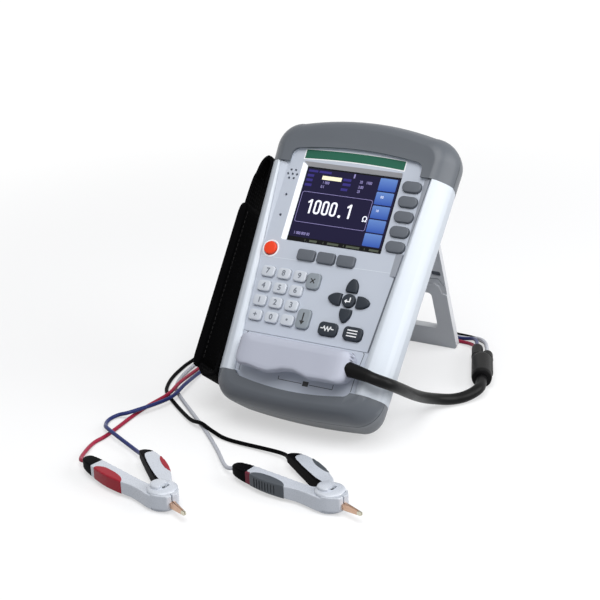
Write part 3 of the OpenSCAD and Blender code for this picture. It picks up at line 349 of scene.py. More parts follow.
# Cords: the same routes as the solids, in millimetres from the floor point under the key panel's middle
cords = {
    "clipOpen": 28.5, "armLength": 76, "leverLength": 61, "tailY": 4, "tailZ": 6, "wireD": 2.8, "leadD": 8,
    "redPivot": (-27.7, -171.5), "redTurn": -11, "greyPivot": (68.2, -128.2), "greyTurn": -3.5,
    "splitAt": (82.5, 73, 7.6), "splitTurn": 113.5, "lobeLong": (56, 3.2), "lobeShort": (44, -4),
    "wirePair": 1.8, "plugExit": (42, -71.5, 8.5), "room": 0.05,
    "redTail": (-8, 7, 4.4), "blueTail": (-16, 2, 4), "whiteTail": (-10, 8, 3.6), "blackTail": (-16, 5, 3.6),
    "blueBend": ((-112, -104, 0), (-112, -128, 0)), "blackBend": ((-36, -78.4, 0), (4, -108.4, 0)),
    "lead": [(54.5, -52.5, 56.5), (62.5, -52.5, 54.8), (69, -47, 50.5), (70.5, -34, 42.2), (69, -18, 32.4),
        (66.5, -2, 23.2), (65.5, 14, 14.5), (68, 27, 8.5), (74.5, 38, 4.8), (81.5, 47.5, 4.6),
        (86.4, 59, 6.8)],
    "red": [(47, 137, 3), (33, 142, 1.6), (4, 142, 1.6), (-20, 145.8, 1.6), (-56, 142, 1.6), (-88, 119, 1.6),
        (-112, 82, 1.6), (-121.5, 45, 1.6), (-119.5, 6, 2.6), (-115.5, -20, 4.9), (-112, -41, 4.9),
        (-118.5, -65, 1.6), (-117, -106, 1.6), (-118, -124, 1.6)],
    "blue": [(47, 141, 6), (33, 146, 2.4), (12, 145.6, 2.4), (-6, 143.8, 5.4), (-24, 141.6, 2),
        (-54, 139.2, 1.6), (-85, 115.5, 1.6), (-107, 80.5, 1.6), (-116.5, 45, 1.6), (-115, 5, 2.6),
        (-110.5, -20, 4.9), (-107.6, -46, 4.9), (-118.7, -75.5, 5), (-127.5, -79.5, 2.4), (-130.2, -87, 1.6),
        (-126.5, -96.5, 2.4), (-116.8, -106, 5)],
    "white": [(60, 132, 8.4), (48, 146, 4.6), (33, 149.8, 1.6), (-20, 150.4, 1.6), (-59, 146.4, 1.6),
        (-92, 122, 1.6), (-117, 84, 1.6), (-127.5, 45, 1.6), (-126, 6, 1.6), (-119.5, -18, 1.6),
        (-109, -31.5, 1.6), (-62, -71, 1.6), (-38, -93, 1.6)],
    "black": [(60, 134, 4.4), (50, 149, 1.8), (33, 153.6, 1.6), (-20, 154.4, 1.6), (-62, 150.4, 1.6),
        (-97, 124.5, 1.6), (-122.5, 85, 1.6), (-133.5, 45, 1.6), (-132, 4, 1.6), (-124.5, -23, 1.6),
        (-112.5, -38, 1.6), (-79, -63.5, 2.6), (-64, -70.6, 5), (-52, -74.2, 2.6), (-36, -78.4, 1.6)],
}
clipPlace = {name: Matrix.Translation(Vector(cords[name + "Pivot"]).to_3d())
    @ Matrix.Rotation(math.radians(cords[name + "Turn"]), 4, "Z") for name in ("red", "grey")}
leverPlace = {name: clipPlace[name] @ Matrix.Rotation(math.radians(-cords["clipOpen"]), 4, "Z")
    for name in clipPlace}


def smoothPath(points, step=2.0):
    # A Catmull-Rom curve through every point
    points = [Vector(p) for p in points]
    ends = [2 * points[0] - points[1]] + points + [2 * points[-1] - points[-2]]
    path = []
    for a, b, c, d in zip(ends, ends[1:], ends[2:], ends[3:]):
        count = max(2, round((c - b).length / step))
        for i in range(count):
            t = i / count
            path.append(0.5 * (2 * b + (c - a) * t + (2 * a - 5 * b + 4 * c - d) * t * t
                + (3 * b - a - 3 * c + d) * t ** 3))
    return path + [points[-1]]


def tube(name, path, radius, sides=16):
    # Rings that turn with the path and don't twist; radius is a number or a function of the share of the path
    rings = []
    side = None
    for i, p in enumerate(path):
        along = (path[min(i + 1, len(path) - 1)] - path[max(i - 1, 0)]).normalized()
        side = along.orthogonal() if side is None else side - along * side.dot(along)
        side.normalize()
        up = along.cross(side)
        r = radius(i / (len(path) - 1)) if callable(radius) else radius
        rings.append([p + r * (math.cos(a) * side + math.sin(a) * up)
            for a in (2 * math.pi * k / sides for k in range(sides))])
    return shade(loft(name, rings), 60)


splitPlace = (Matrix.Translation(Vector(cords["splitAt"]))
    @ Matrix.Rotation(math.radians(cords["splitTurn"]), 4, "Z"))
lobeExit = {(lobe, high): splitPlace @ Vector((cords[lobe][0], cords[lobe][1], high * cords["wirePair"]))
    for lobe in ("lobeLong", "lobeShort") for high in (-1, 1)}


def tailEnd(matrix, length, approach, inset):
    # The last two points of a wire: on its way to the boot, and inside it
    return [matrix @ Vector((approach[0] - length, approach[1], approach[2])),
        matrix @ Vector((-length - inset, cords["tailY"], cords["tailZ"]))]


plugEnd = (floorPlace.inverted() @ casePlace) @ Vector(cords["plugExit"])
# Each wire: its lobe and the side it leaves on, what its tail goes into, how long that is, and how far in
wires = {"red": ("lobeLong", -1, clipPlace["red"], "armLength", 0.1),
    "blue": ("lobeLong", 1, leverPlace["red"], "leverLength", 0.3),
    "white": ("lobeShort", 1, clipPlace["grey"], "armLength", 0.1),
    "black": ("lobeShort", -1, leverPlace["grey"], "leverLength", 0.3)}
routes = {"lead": [plugEnd] + cords["lead"] + [splitPlace @ Vector((-0.3, 0, 0))]}
for name, (lobe, side, matrix, length, inset) in wires.items():
    tail = tailEnd(matrix, cords[length], cords[name + "Tail"], inset)
    routes[name] = [lobeExit[lobe, side]] + cords[name] + tail
cordPieces = {}
for name, route in routes.items():
    wide = cords["leadD"] if name == "lead" else cords["wireD"]
    path = [floorPlace @ p for p in smoothPath(route)]
    # The cord stays inside the box of the solids
    room = (wide / 2 + cords["room"]) * mm
    path = [Vector([min(max(c, low + room), high - room) for c, low, high in zip(p, *cadBox)]) for p in path]
    piece = tube(name + ("Cable" if name == "lead" else "Wire"), path, wide / 2 * mm)
    surface = cablePvc if name == "lead" else wirePvc[name.capitalize()]
    node = "lead_cable" if name == "lead" else "wire_" + name
    if name in ("blue", "black"):
        piece.data.materials.append(surface)
        start, end = (floorPlace @ Vector(p) for p in cords[name + "Bend"])
        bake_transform(piece)
        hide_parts(node)
    else:
        slot = {"lead": "cable", "red": "wire_red", "white": "wire_white"}[name]
        place(piece, None, surface, "test_lead", (node,))
    length = sum((b - a).length for a, b in zip(path, path[1:]))
    cordPieces[name] = (piece, path, length, wide * mm)
    print("cord", name, round(length * 1000, 1), "mm")

# The case: the same rules as its solid, with finer steps
case = {"length": 214, "topWidth": 141, "bottomWidth": 127, "depth": 46, "railRise": 3, "waist": 12,
    "wall": 2.5, "bumper": 2, "fit": 0.15, "cornerR": 19, "cornerEase": 0.6, "cornerLeast": 3,
    "topArch": 5.95, "bottomArch": 2, "roll": 3, "rollFrom": 0.8, "crestIn": (10, 1.7), "backIn": (13.5, 1.6),
    "crestEndIn": (6.7, 2.4), "backEndIn": (6, 8), "topBumperY": 68.5, "bottomBumperY": 85.5,
    "cornerSteps": 10, "archSteps": 14, "seamZ": -12.6, "seamHalf": 0.4, "seamDeep": 0.9,
    "recess": (37.6, -79.7, 83)}
# Heights of the rings, from 1 at the crest over 0 at the waist to -1 at the back
profile = [1, 0.997, 0.99, 0.975, 0.955, 0.93, 0.9, 0.86, 0.81, 0.75, 0.66, 0.55, 0.42, 0.28, 0.14, 0,
    -0.12, -0.24, -0.36, -0.48, -0.58, -0.68, -0.77, -0.84, -0.9, -0.94, -0.97, -0.99, -1]


def arc(x, y, r, start, steps):
    return [(x + r * math.cos(math.radians(start + 90 * i / steps)),
        y + r * math.sin(math.radians(start + 90 * i / steps))) for i in range(steps + 1)]


def caseRing(u, s):
    # The outline at height u, s millimetres inside the outer face
    sideIn, sidePower = case["crestIn"] if u > 0 else case["backIn"]
    endIn, endPower = case["crestEndIn"] if u > 0 else case["backEndIn"]
    side, end = s + sideIn * abs(u) ** sidePower, s + endIn * abs(u) ** endPower
    rolled = case["roll"] * (1 - math.sqrt(1 - (max(u - case["rollFrom"], 0) / (1 - case["rollFrom"])) ** 2))
    side, end = side + rolled, end + rolled
    r = max(case["cornerR"] - case["cornerEase"] * side, case["cornerLeast"])
    reach = case["waist"] + case["railRise"] if u > 0 else case["depth"] - case["waist"]
    z = -case["waist"] + u * (reach - s)
    tw, bw = case["topWidth"] / 2 - side, case["bottomWidth"] / 2 - side
    ty, by = case["length"] / 2 - end - case["topArch"], case["length"] / 2 - end - case["bottomArch"]
    n = case["archSteps"]
    shares = [1 - 2 * i / n for i in range(1, n)]
    ring = (arc(tw - r, ty - r, r, 0, case["cornerSteps"])
        + [(t * (tw - r), ty + case["topArch"] * (1 - t * t)) for t in shares]
        + arc(r - tw, ty - r, r, 90, case["cornerSteps"]) + arc(r - bw, r - by, r, 180, case["cornerSteps"])
        + [(-t * (bw - r), -by - case["bottomArch"] * (1 - t * t)) for t in shares]
        + arc(bw - r, r - by, r, 270, case["cornerSteps"]))
    return [(x, y, z) for x, y in ring]


def envelope(s):
    return loft("envelope", [caseRing(u, s) for u in profile])


def between(yLow, yHigh, zLow, zHigh):
    return block("between", (-100, yLow, zLow), (100, yHigh, zHigh))


def bodyShape(s):
    # The shells: full width between the bumpers, and stepped in under them
    middle = carve(envelope(s), between(-case["bottomBumperY"], case["topBumperY"], -200, 200), "INTERSECT")
    return carve(middle, envelope(s + case["bumper"] + case["fit"]), "UNION")


panel = {"thick": 2.4, "top": 58, "bottom": 46, "tongueTop": 50.5, "tongueBottom": 44.5, "tongueY": 79,
    "tongueLow": 89, "tongueArch": 3.5, "tongueR": 6, "ledge": 2.5, "ledgeThick": 1.6, "slopeTop": 3.4,
    "slopeBottom": 6.5, "slope": [(3.5, 1.2), (3, 0.9), (2.8, 0.7), (2.4, 0.48), (1.8, 0.28), (1, 0.11),
    (0, 0)]}


def panelHalf(y):
    # Half the width of the key panel at height y
    span = case["topBumperY"] + case["bottomBumperY"]
    return panel["bottom"] + (panel["top"] - panel["bottom"]) * (y + case["bottomBumperY"]) / span


def tongueOutline(half, y, side, grow):
    # One end of the panel, with an arched edge and rounded corners
    r = panel["tongueR"]
    inner = half - r
    points = [(-half - grow, 0), (half + grow, 0)] + arc(inner, y - r, r + grow, 0, 6)
    points += [(inner * (1 - 2 * i / 12), y + grow + panel["tongueArch"] * (1 - (1 - 2 * i / 12) ** 2))
        for i in range(1, 12)]
    points += arc(-inner, y - r, r + grow, 90, 6)
    return [(x * side, yy * side) for x, yy in points]


def panelTools(grow, low, high):
    a, b = -case["bottomBumperY"] + case["fit"], case["topBumperY"] - case["fit"]
    middle = [(-panelHalf(a) - grow, a), (panelHalf(a) + grow, a), (panelHalf(b) + grow, b),
        (-panelHalf(b) - grow, b)]
    return [prism("middle", middle, low, high),
        prism("upper", tongueOutline(panel["tongueTop"], panel["tongueY"], 1, grow), low, high),
        prism("lower", tongueOutline(panel["tongueBottom"], panel["tongueLow"], -1, grow), low, high)]


def railCut():
    # The space between the rails: its sides slope away from the panel in a curve
    low, high = -case["bottomBumperY"], case["topBumperY"]
    rings = []
    for z, share in panel["slope"]:
        bottom, top = panel["bottom"] + share * panel["slopeBottom"], panel["top"] + share * panel["slopeTop"]
        rings.append([(-bottom, low, z), (bottom, low, z), (top, high, z), (-top, high, z)])
    return loft("railCut", rings)


screws = {"places": [(s * x, y) for s in (-1, 1) for x, y in ((50, 74), (51.45, -22), (44, -80))],
    "column": 8, "hole": 3, "head": 5.8}


def disc(name, at, d, low, high, sides=40):
    ring = [(at[0] + d / 2 * math.cos(2 * math.pi * k / sides),
        at[1] + d / 2 * math.sin(2 * math.pi * k / sides)) for k in range(sides)]
    return prism(name, ring, low, high)


def frontShell():
    ledgeZ = -panel["thick"] - panel["ledgeThick"]
    shell = carve(bodyShape(0), between(-200, 200, -case["waist"], 200), "INTERSECT")
    carve(shell, carve(bodyShape(case["wall"]), between(-200, 200, -case["waist"] - 0.5, ledgeZ),
        "INTERSECT"))
    for at in screws["places"]:
        carve(shell, disc("column", at, screws["column"], -case["waist"], ledgeZ + 0.5), "UNION")
    carve(shell, railCut())
    for tool in panelTools(case["fit"], -panel["thick"], 60) + panelTools(-panel["ledge"], ledgeZ - 0.5, 60):
        carve(shell, tool)
    for at in screws["places"]:
        carve(shell, disc("hole", at, screws["hole"], -case["waist"] - 0.5, ledgeZ))
    return shell


front = frontShell()
front.name = "frontShell"
place(front, casePlace, paleAbs, "meter", ("front_case",))
soften(front, 0.4, flat=casePlace)
print("front shell made,", len(front.data.polygons), "faces")


def bumperShell(name, yLow, yHigh):
    shell = carve(envelope(0), between(yLow, yHigh, -200, 200), "INTERSECT")
    carve(shell, envelope(case["bumper"]))
    side = 1 if yHigh > 0 else -1
    half, y = panel["tongueTop"], panel["tongueY"]
    if side < 0:
        half, y = panel["tongueBottom"], panel["tongueLow"]
    carve(shell, prism("tongue", tongueOutline(half, y, side, case["fit"]), -panel["thick"], 60))
    wide, low, high = case["recess"]
    carve(shell, block("recess", (-wide, low, -100), (wide, high, -case["waist"])))
    for at in screws["places"]:
        carve(shell, disc("head", at, screws["head"], -100, -case["waist"]))
    seamLow, seamHigh = case["seamZ"] - case["seamHalf"], case["seamZ"] + case["seamHalf"]
    carve(shell, carve(between(yLow, yHigh, seamLow, seamHigh), envelope(case["seamDeep"])))
    shell.name = name
    return shell


for name, node, low, high in (("topBumper", "top_bumper", case["topBumperY"] + case["fit"], 200),
        ("bottomBumper", "bottom_bumper", -200, -case["bottomBumperY"] - case["fit"])):
    shell = bumperShell(name, low, high)
    place(shell, casePlace, softTouchRubber, "meter", (node,))
    soften(shell, 0.5)
    print(name, "made,", len(shell.data.polygons), "faces")


# Small rods for ribs and stitches
def rodTree(name, follows):
    # A rod at each point of the piece, or rods laid end to end along its edges when it follows a path
    tree = bpy.data.node_groups.new(name, "GeometryNodeTree")
    tree.interface.new_socket("Geometry", in_out="OUTPUT", socket_type="NodeSocketGeometry")
    sockets = {}
    wanted = [("Geometry", "NodeSocketGeometry"), ("Spacing", "NodeSocketFloat"),
        ("Length", "NodeSocketFloat"), ("Radius", "NodeSocketFloat"), ("Direction", "NodeSocketVector"),
        ("Finish", "NodeSocketMaterial")]
    for label, kind in wanted:
        sockets[label] = tree.interface.new_socket(label, in_out="INPUT", socket_type=kind).identifier
    given = addNode(tree, "NodeGroupInput")
    half = worked(tree, "MULTIPLY", given.outputs["Length"], 0.5)
    back = worked(tree, "MULTIPLY", half, -1.0)
    ends = [addNode(tree, "ShaderNodeCombineXYZ", None, {"Z": end}).outputs[0] for end in (back, half)]
    line = addNode(tree, "GeometryNodeCurvePrimitiveLine", None, {"Start": ends[0], "End": ends[1]})
    points = addNode(tree, "GeometryNodeResampleCurve", {"mode": "COUNT"},
        {"Curve": line.outputs[0], "Count": 7})
    share = addNode(tree, "GeometryNodeSplineParameter").outputs["Factor"]
    taper = ranged(tree, worked(tree, "PINGPONG", share, 0.5), 0.35, 1.0, 0.0, 0.2, "SMOOTHERSTEP")
    ring = addNode(tree, "GeometryNodeCurvePrimitiveCircle", None,
        {"Resolution": 8, "Radius": given.outputs["Radius"]})
    rod = addNode(tree, "GeometryNodeCurveToMesh", None,
        {"Curve": points.outputs[0], "Profile Curve": ring.outputs[0], "Scale": taper,
        "Fill Caps": True})
    if follows:
        run = addNode(tree, "GeometryNodeMeshToCurve", None, {"Mesh": given.outputs["Geometry"]})
        where = addNode(tree, "GeometryNodeResampleCurve", {"mode": "LENGTH"},
            {"Curve": run.outputs[0], "Length": given.outputs["Spacing"]}).outputs[0]
        along = addNode(tree, "GeometryNodeInputTangent").outputs[0]
    else:
        where, along = given.outputs["Geometry"], given.outputs["Direction"]
    turned = addNode(tree, "FunctionNodeAlignRotationToVector", {"axis": "Z"}, {"Vector": along})
    rods = addNode(tree, "GeometryNodeInstanceOnPoints", None,
        {"Points": where, "Instance": rod.outputs[0], "Rotation": turned.outputs[0]})
    real = addNode(tree, "GeometryNodeRealizeInstances", None, {"Geometry": rods.outputs[0]})
    painted = addNode(tree, "GeometryNodeSetMaterial", None,
        {"Geometry": real.outputs[0], "Material": given.outputs["Finish"]})
    addNode(tree, "NodeGroupOutput", None, {"Geometry": painted.outputs[0]})
    return tree, sockets


rodSpots, rodRun = rodTree("rodSpots", False), rodTree("rodRun", True)


def rods(name, kind, values, points):
    # Values and points are in millimetres, before the piece is put in place
    tree, sockets = kind
    piece = newPiece(name, [], [])
    edges = [(i, i + 1) for i in range(len(points) - 1)] if kind is rodRun else []
    piece.data.from_pydata([tuple(p) for p in points], edges, [])
    maker = piece.modifiers.new("rods", "NODES")
    maker.node_group = tree
    for label, value in values.items():
        maker[sockets[label]] = value
    applyModifiers(piece)
    return turnOutwards(piece)


# Rounded outlines, seen from above
def rounded(w, h, r, grow=0.0, steps=7):
    w, h, r = w / 2 + grow, h / 2 + grow, max(r + grow, 0.05)
    return (arc(w - r, h - r, r, 0, steps) + arc(r - w, h - r, r, 90, steps)
        + arc(r - w, r - h, r, 180, steps) + arc(w - r, r - h, r, 270, steps))


def turned(points, degrees, at=(0, 0)):
    c, s = math.cos(math.radians(degrees)), math.sin(math.radians(degrees))
    return [(at[0] + x * c - y * s, at[1] + x * s + y * c) for x, y in points]


# Printed marks: thin solids just above what carries them
def lettering(name, text, size, at, z, narrow=1.0, weight=0.0):
    words = bpy.data.curves.new(name, "FONT")
    words.body, words.size, words.extrude = text, size, 0.015
    words.align_x = words.align_y = "CENTER"
    holder = bpy.data.objects.new(name, words)
    bpy.context.scene.collection.objects.link(holder)
    mesh = bpy.data.meshes.new_from_object(holder.evaluated_get(bpy.context.evaluated_depsgraph_get()))
    bpy.data.objects.remove(holder)
    # Heavier words are five copies, moved aside a little and each a hair lower
    moves = [(0, 0), (weight, 0), (-weight, 0), (0, weight), (0, -weight)] if weight else [(0, 0)]
    copies = []
    for i, (dx, dy) in enumerate(moves):
        piece = newPiece(name, [], [])
        piece.data = mesh.copy()
        placing = Matrix.Translation((at[0] + dx, at[1] + dy, z - i * 0.002))
        piece.data.transform(placing @ Matrix.Diagonal((narrow, 1, 1, 1)))
        copies.append(piece)
    return joinPieces(name, copies)


def flatMarks(name, outlines, z, thick=0.03):
    return joinPieces(name, [prism(name + "Part", outline, z, z + thick) for outline in outlines])


def bar(x0, x1, y0, y1):
    return [(x0, y0), (x1, y0), (x1, y1), (x0, y1)]


def ink(name, colour, rough=0.5):
    # Screen-printed ink: flat and even, a little rougher than what it is printed on
    surface, tree, shader, at = newMaterial(name)
    film = noise(tree, at, 2500.0, 2.0)
    feed(tree, shader,
        {"Base Color": tone(colour), "Roughness": ranged(tree, film, rough - 0.08, rough + 0.08)})
    return surface


greyInk = ink("greyInk", "#6e747e")
whiteInk = ink("whiteInk", "#eef0f2")
blackInk = ink("blackInk", "#121316")
print("tools ready")

# Keys: their places, outlines and finishes. A row gives the place of a key, the steps to the next ones, the
# width, height and corner radius; a round key gives its place and diameter
keys = {"top": 2.2, "base": -2.5, "edge": 0.75, "crown": 0.22, "flange": 1.2, "lap": 0.9, "fit": 0.25,
    "soft": (46.2, 61.2, 10.82, 14, 7.8, 3.7), "function": (-1.9, 2.65, 15.4, 13.5, 8, 2),
    "number": (-42.15, -12.85, 12.55, 10.66, 9.8, 7.6, 2.17), "power": (-46.2, 4, 9.4),
    "halo": (10.6, 12.6, 0.3), "centre": (23.8, -24, 9.5), "arrowIn": 6, "arrowW": 8.6, "arrowL": 10,
    "arrowFlat": 2.4, "arrowCrown": 4.2, "escape": (-6.1, -14.8, 10, 11.5, 2.86),
    "backspace": (-5.5, -41.9, 10, 14, 2.86), "measure": (14.6, -45.8, 14, 9.5, 3.17),
    "setup": (33.4, -46, 14, 9.5, 3.17), "figure": 5.4}


def bullet(grow=0.0, steps=16):
    # Arrow key: flat inner end, bowed sides and a blunt point
    half, flat = keys["arrowW"] / 2, keys["arrowFlat"]
    bow = ((keys["arrowL"] - flat) ** 2 / half + half) / 2
    low, high = -grow, keys["arrowL"] - 0.6 + grow
    ys = [low + (high - low) * i / steps for i in range(steps + 1)]
    side = [(half - bow + math.sqrt((bow + grow) ** 2 - (y - flat) ** 2), y) for y in ys]
    return side + [(-x, y) for x, y in reversed(side)]


def oblong(w, h, r, steps=7):
    return lambda grow: rounded(w, h, r, grow, steps)


def circle(d, sides=40):
    return lambda grow: [((d / 2 + grow) * math.cos(2 * math.pi * k / sides),
        (d / 2 + grow) * math.sin(2 * math.pi * k / sides)) for k in range(sides)]


spots = {}


def addKey(node, name, at, outline, finish, slot, flange, turn=0, centre=(0, 0)):
    # The flange under a key keeps it in the case; the centre is the middle of its crown
    spots[node] = {"name": name, "at": at, "outline": outline, "finish": finish, "slot": slot,
        "flange": flange, "turn": turn, "centre": centre}


x, y, step, w, h, r = keys["soft"]
for i in range(5):
    addKey("soft_key_%d" % (i + 1), "softKey%d" % (i + 1), (x, y - i * step), oblong(w, h, r, 10), greyKey,
        "grey_key", (w / 2, h + 2 * keys["lap"]))
x, y, step, w, h, r = keys["function"]
for i in range(3):
    addKey("function_key_%d" % (i + 1), "functionKey%d" % (i + 1), (x + (i - 1) * step, y), oblong(w, h, r),
        greyKey, "grey_key", (w / 2, h + 2 * keys["lap"]))
x, y, stepX, stepY, w, h, r = keys["number"]
grid = {"number_key_0": (1, 3, "0"), "sign_key": (0, 3, "+"), "point_key": (2, 3, "\u2022")}
grid.update({"number_key_%d" % d: ((d - 1) % 3, 2 - (d - 1) // 3, str(d)) for d in range(1, 10)})
for node, (column, row, text) in grid.items():
    title = "cap" + "".join(part.capitalize() for part in node.split("_"))
    addKey(node, title, (x + column * stepX, y - row * stepY), oblong(w, h, r), whiteKey, "white_key",
        (w / 2, h + 2 * keys["lap"]))
x, y, d = keys["power"]
addKey("power_key", "capPower", (x, y), circle(d), powerKey, "power_key", (d / 2, d + 2 * keys["lap"]))
x, y, d = keys["centre"]
addKey("centre_key", "capCentre", (x, y), circle(d), darkKey, "dark_key", (d / 1.4, d / 1.4))
for name, turn in (("right", -90), ("up", 0), ("left", 90), ("down", 180)):
    at = turned([(0, keys["arrowIn"])], turn, (x, y))[0]
    addKey("arrow_%s_key" % name, "cap" + name.capitalize(), at, bullet, darkKey, "dark_key",
        (keys["arrowW"] * 0.8, keys["arrowL"] / 3), turn, (0, keys["arrowCrown"]))
for name in ("escape", "backspace", "measure", "setup"):
    x, y, w, h, r = keys[name]
    finish, slot = (sideKey, "grey_key") if name in ("escape", "backspace") else (darkKey, "dark_key")
    addKey(name + "_key", "cap" + name.capitalize(), (x, y), oblong(w, h, r), finish, slot,
        (w / 2, h + 2 * keys["lap"]))

# Key panel and socket plate: one outline cut in two, with a sloping frame round the screen
window = {"w": 73.25, "h": 55.4, "x": -1.0, "y": 40.1, "left": 3.6, "right": 1.0, "top": 3.0, "bottom": 1.0}
face = {"split": -56.5, "hole": 1.8, "speaker": (-46.8, 59.9, 3.6), "lamp": 2,
    "lamps": ((-47, 44.4), (-46.8, 29.1)), "blockW": 76, "blockH": 22, "blockY": -71.5, "blockT": 12,
    "pins": 6, "pinStep": 12, "pinD": 3.2, "slopeIn": (0.15, -2.15), "slopeOut": (0.2, -0.12)}


def wholePanel():
    parts = panelTools(0, -panel["thick"], 0)
    for part in parts[1:]:
        carve(parts[0], part, "UNION")
    return parts[0]


keyPanel = wholePanel()
keyPanel.name = "keyPanel"
carve(keyPanel, between(-200, face["split"] + case["fit"], -50, 50))
holes = [prism("hole", turned(key["outline"](keys["fit"]), key["turn"], key["at"]), -9, 9)
    for key in spots.values()]
x, y, ring = face["speaker"]
holes += [disc("hole", turned([(ring, 0)], 60 * i, (x, y))[0], face["hole"], -9, 9, 20) for i in range(6)]
holes.append(disc("hole", (x, y), face["hole"], -9, 9, 20))
holes += [disc("hole", at, face["lamp"], -9, 9, 20) for at in face["lamps"]]
carve(keyPanel, joinPieces("holes", holes))
rings = []
for z, share in ((0.5, 1.2), (-2.3, 0.0), (-5, 0.0)):
    x0 = window["x"] - window["w"] / 2 - window["left"] * share
    x1 = window["x"] + window["w"] / 2 + window["right"] * share
    y0 = window["y"] - window["h"] / 2 - window["bottom"] * share
    y1 = window["y"] + window["h"] / 2 + window["top"] * share
    opening = rounded(x1 - x0, y1 - y0, 1.2 * share + 0.1)
    rings.append([(x + (x0 + x1) / 2, y + (y0 + y1) / 2, z) for x, y in opening])
carve(keyPanel, loft("frameCut", rings))
place(keyPanel, casePlace, panelAbs, "meter", ("face_panel",))
soften(keyPanel, 0.25, flat=casePlace)
socketPlate = wholePanel()
socketPlate.name = "socketPlate"
carve(socketPlate, between(face["split"] - case["fit"], 200, -50, 50))
w, h, y = face["blockW"] / 2, face["blockH"] / 2, face["blockY"]
carve(socketPlate, block("block", (-w, y - h, -panel["thick"] - face["blockT"]), (w, y + h, -1)), "UNION")
pinX = [(i - (face["pins"] - 1) / 2) * face["pinStep"] for i in range(face["pins"])]
carve(socketPlate, joinPieces("holes", [disc("hole", (x, y), face["pinD"], -11, 9, 24) for x in pinX]))
place(socketPlate, casePlace, panelAbs, "meter", ("socket_block",))
soften(socketPlate, 0.3, flat=casePlace)


def facing(name, corners, surface, skin=0.05):
    # A skin in another colour on a sloping face, for painted highlight and painted shade; corners run
    # anticlockwise, seen from outside
    corners = [Vector(c) for c in corners]
    out = (corners[1] - corners[0]).cross(corners[2] - corners[0]).normalized()
    return place(loft(name, [[c - out * 0.02 for c in corners], [c + out * skin for c in corners]]),
        casePlace, surface, "meter")


# Skins of painted light on the frame round the screen: a white painted highlight on its left slope, and warm
# grey painted shade on its upper slope
paneX, paneRight = window["x"] - window["w"] / 2, window["x"] + window["w"] / 2
paneY, paneTop = window["y"] - window["h"] / 2, window["y"] + window["h"] / 2
(inset, deep), (lap, rim) = face["slopeIn"], face["slopeOut"]
outX, outY = paneX - window["left"] + lap, paneTop + window["top"] - lap
facing("frameLeftHighlight", [(paneX - inset, paneTop, deep), (outX, outY - 0.1, rim),
    (outX, paneY - window["bottom"] + 0.3, rim), (paneX - inset, paneY, deep)], whiteAndHighlightAbs)
facing("frameTopShade", [(paneRight, paneTop + inset, deep), (paneRight + window["right"] - lap, outY, rim),
    (outX + 0.2, outY, rim), (paneX, paneTop + inset, deep)], paintedShadeWarmAbs)
# Margins: wedges beside the screen, each row with its height on the face, its inner edge and its rise; the
# right ones are cool grey as painted shade
margin = {"edge": 0.15, "foot": 0.03, "under": -0.3, "right": [(68.2, 53.6, 1.5), (20, 53.6, 0.2)],
    "step": [(13.4, 47.8, 1.6), (-2.6, 47.6, 1.4)], "left": [(68.2, 52.5, 1.5), (25, 52.7, 0.7),
    (8, 52.9, 0.1)], "plateau": ((-52, -2.3), (47.6, -0.4)), "thick": 0.3, "line": 1.2,
    "lineEnds": (-2.8, -56.2), "seam": (0.55, 0.35), "seamPath": [(44.4, -56.75), (45.2, -57.1), (45.5, -58),
    (45.2, -61), (44.3, -68), (43.5, -77), (43.3, -84.5)]}
# The right and step wedges carry painted shade; the left one keeps the panel's colour
for label, side, surface in (("right", 1, paintedShadeCoolAbs), ("step", 1, paintedShadeCoolAbs), ("left", -1, panelAbs)):
    rings = []
    for y, x, rise in margin[label]:
        edge = panelHalf(y) - margin["edge"]
        rings.append([(side * x, y, margin["under"]), (side * edge, y, margin["under"]),
            (side * edge, y, rise), (side * x, y, margin["foot"])])
    place(loft("margin" + label.capitalize(), rings), casePlace, surface, "meter")
# A pale line along the plateau's step: painted highlight where the step edge catches the light
(x0, y0), (x1, y1) = margin["plateau"]
lines = [[(x0, y0), (x1, y1), (x1, y1 + margin["thick"]), (x0, y0 + margin["thick"])]]
place(flatMarks("plateauEdgeHighlight", lines, 0.0, 0.04), casePlace, paleAbs, "meter")
# Dark grey lines along the gaps round the socket plate and down the panel's lower edges: painted shade
seam, (dx, dy) = margin["seamPath"], margin["seam"]
lines = [[(side * x, y) for x, y in seam] + [(side * (x - dx), y - dy) for x, y in reversed(seam)]
    for side in (-1, 1)]
edges = [(panelHalf(y) - 0.1, y) for y in margin["lineEnds"]]
lines.insert(1, [(x - margin["line"], y) for x, y in edges] + edges[::-1])
place(flatMarks("panelSeamShade", lines, 0.0, 0.03), casePlace, gapShadeAbs, "meter")
# A thin bracket with a plain square under the plug
bracket = {"x": (-12, 6.4, 12, 29.7), "y": (-83, -85.6), "wide": 0.4, "square": (9.2, -85.2, 4.4, 3.4)}
(a, b, c, d), (y1, y0), wide = bracket["x"], bracket["y"], bracket["wide"]
x, y, w, h = bracket["square"]
lines = [bar(a, a + wide, y0, y1), bar(a, b, y0, y0 + wide), bar(c, d, y0, y0 + wide),
    bar(d - wide, d, y0, y1 + 1), bar(x - w / 2, x + w / 2, y - h / 2, y + h / 2)]
place(flatMarks("plateMarks", lines, 0.0, 0.04), casePlace, blackInk, "meter")
x, y, d = keys["power"]
inner, outer, rise = keys["halo"]
halo = disc("powerHalo", (x, y), outer, -0.2, rise, 48)
carve(halo, disc("inside", (x, y), inner, -1, 1, 48))
place(halo, casePlace, whiteAndHighlightAbs, "meter")
soften(halo, 0.2, flat=casePlace)
print("key panel made,", len(keyPanel.data.polygons), "faces")


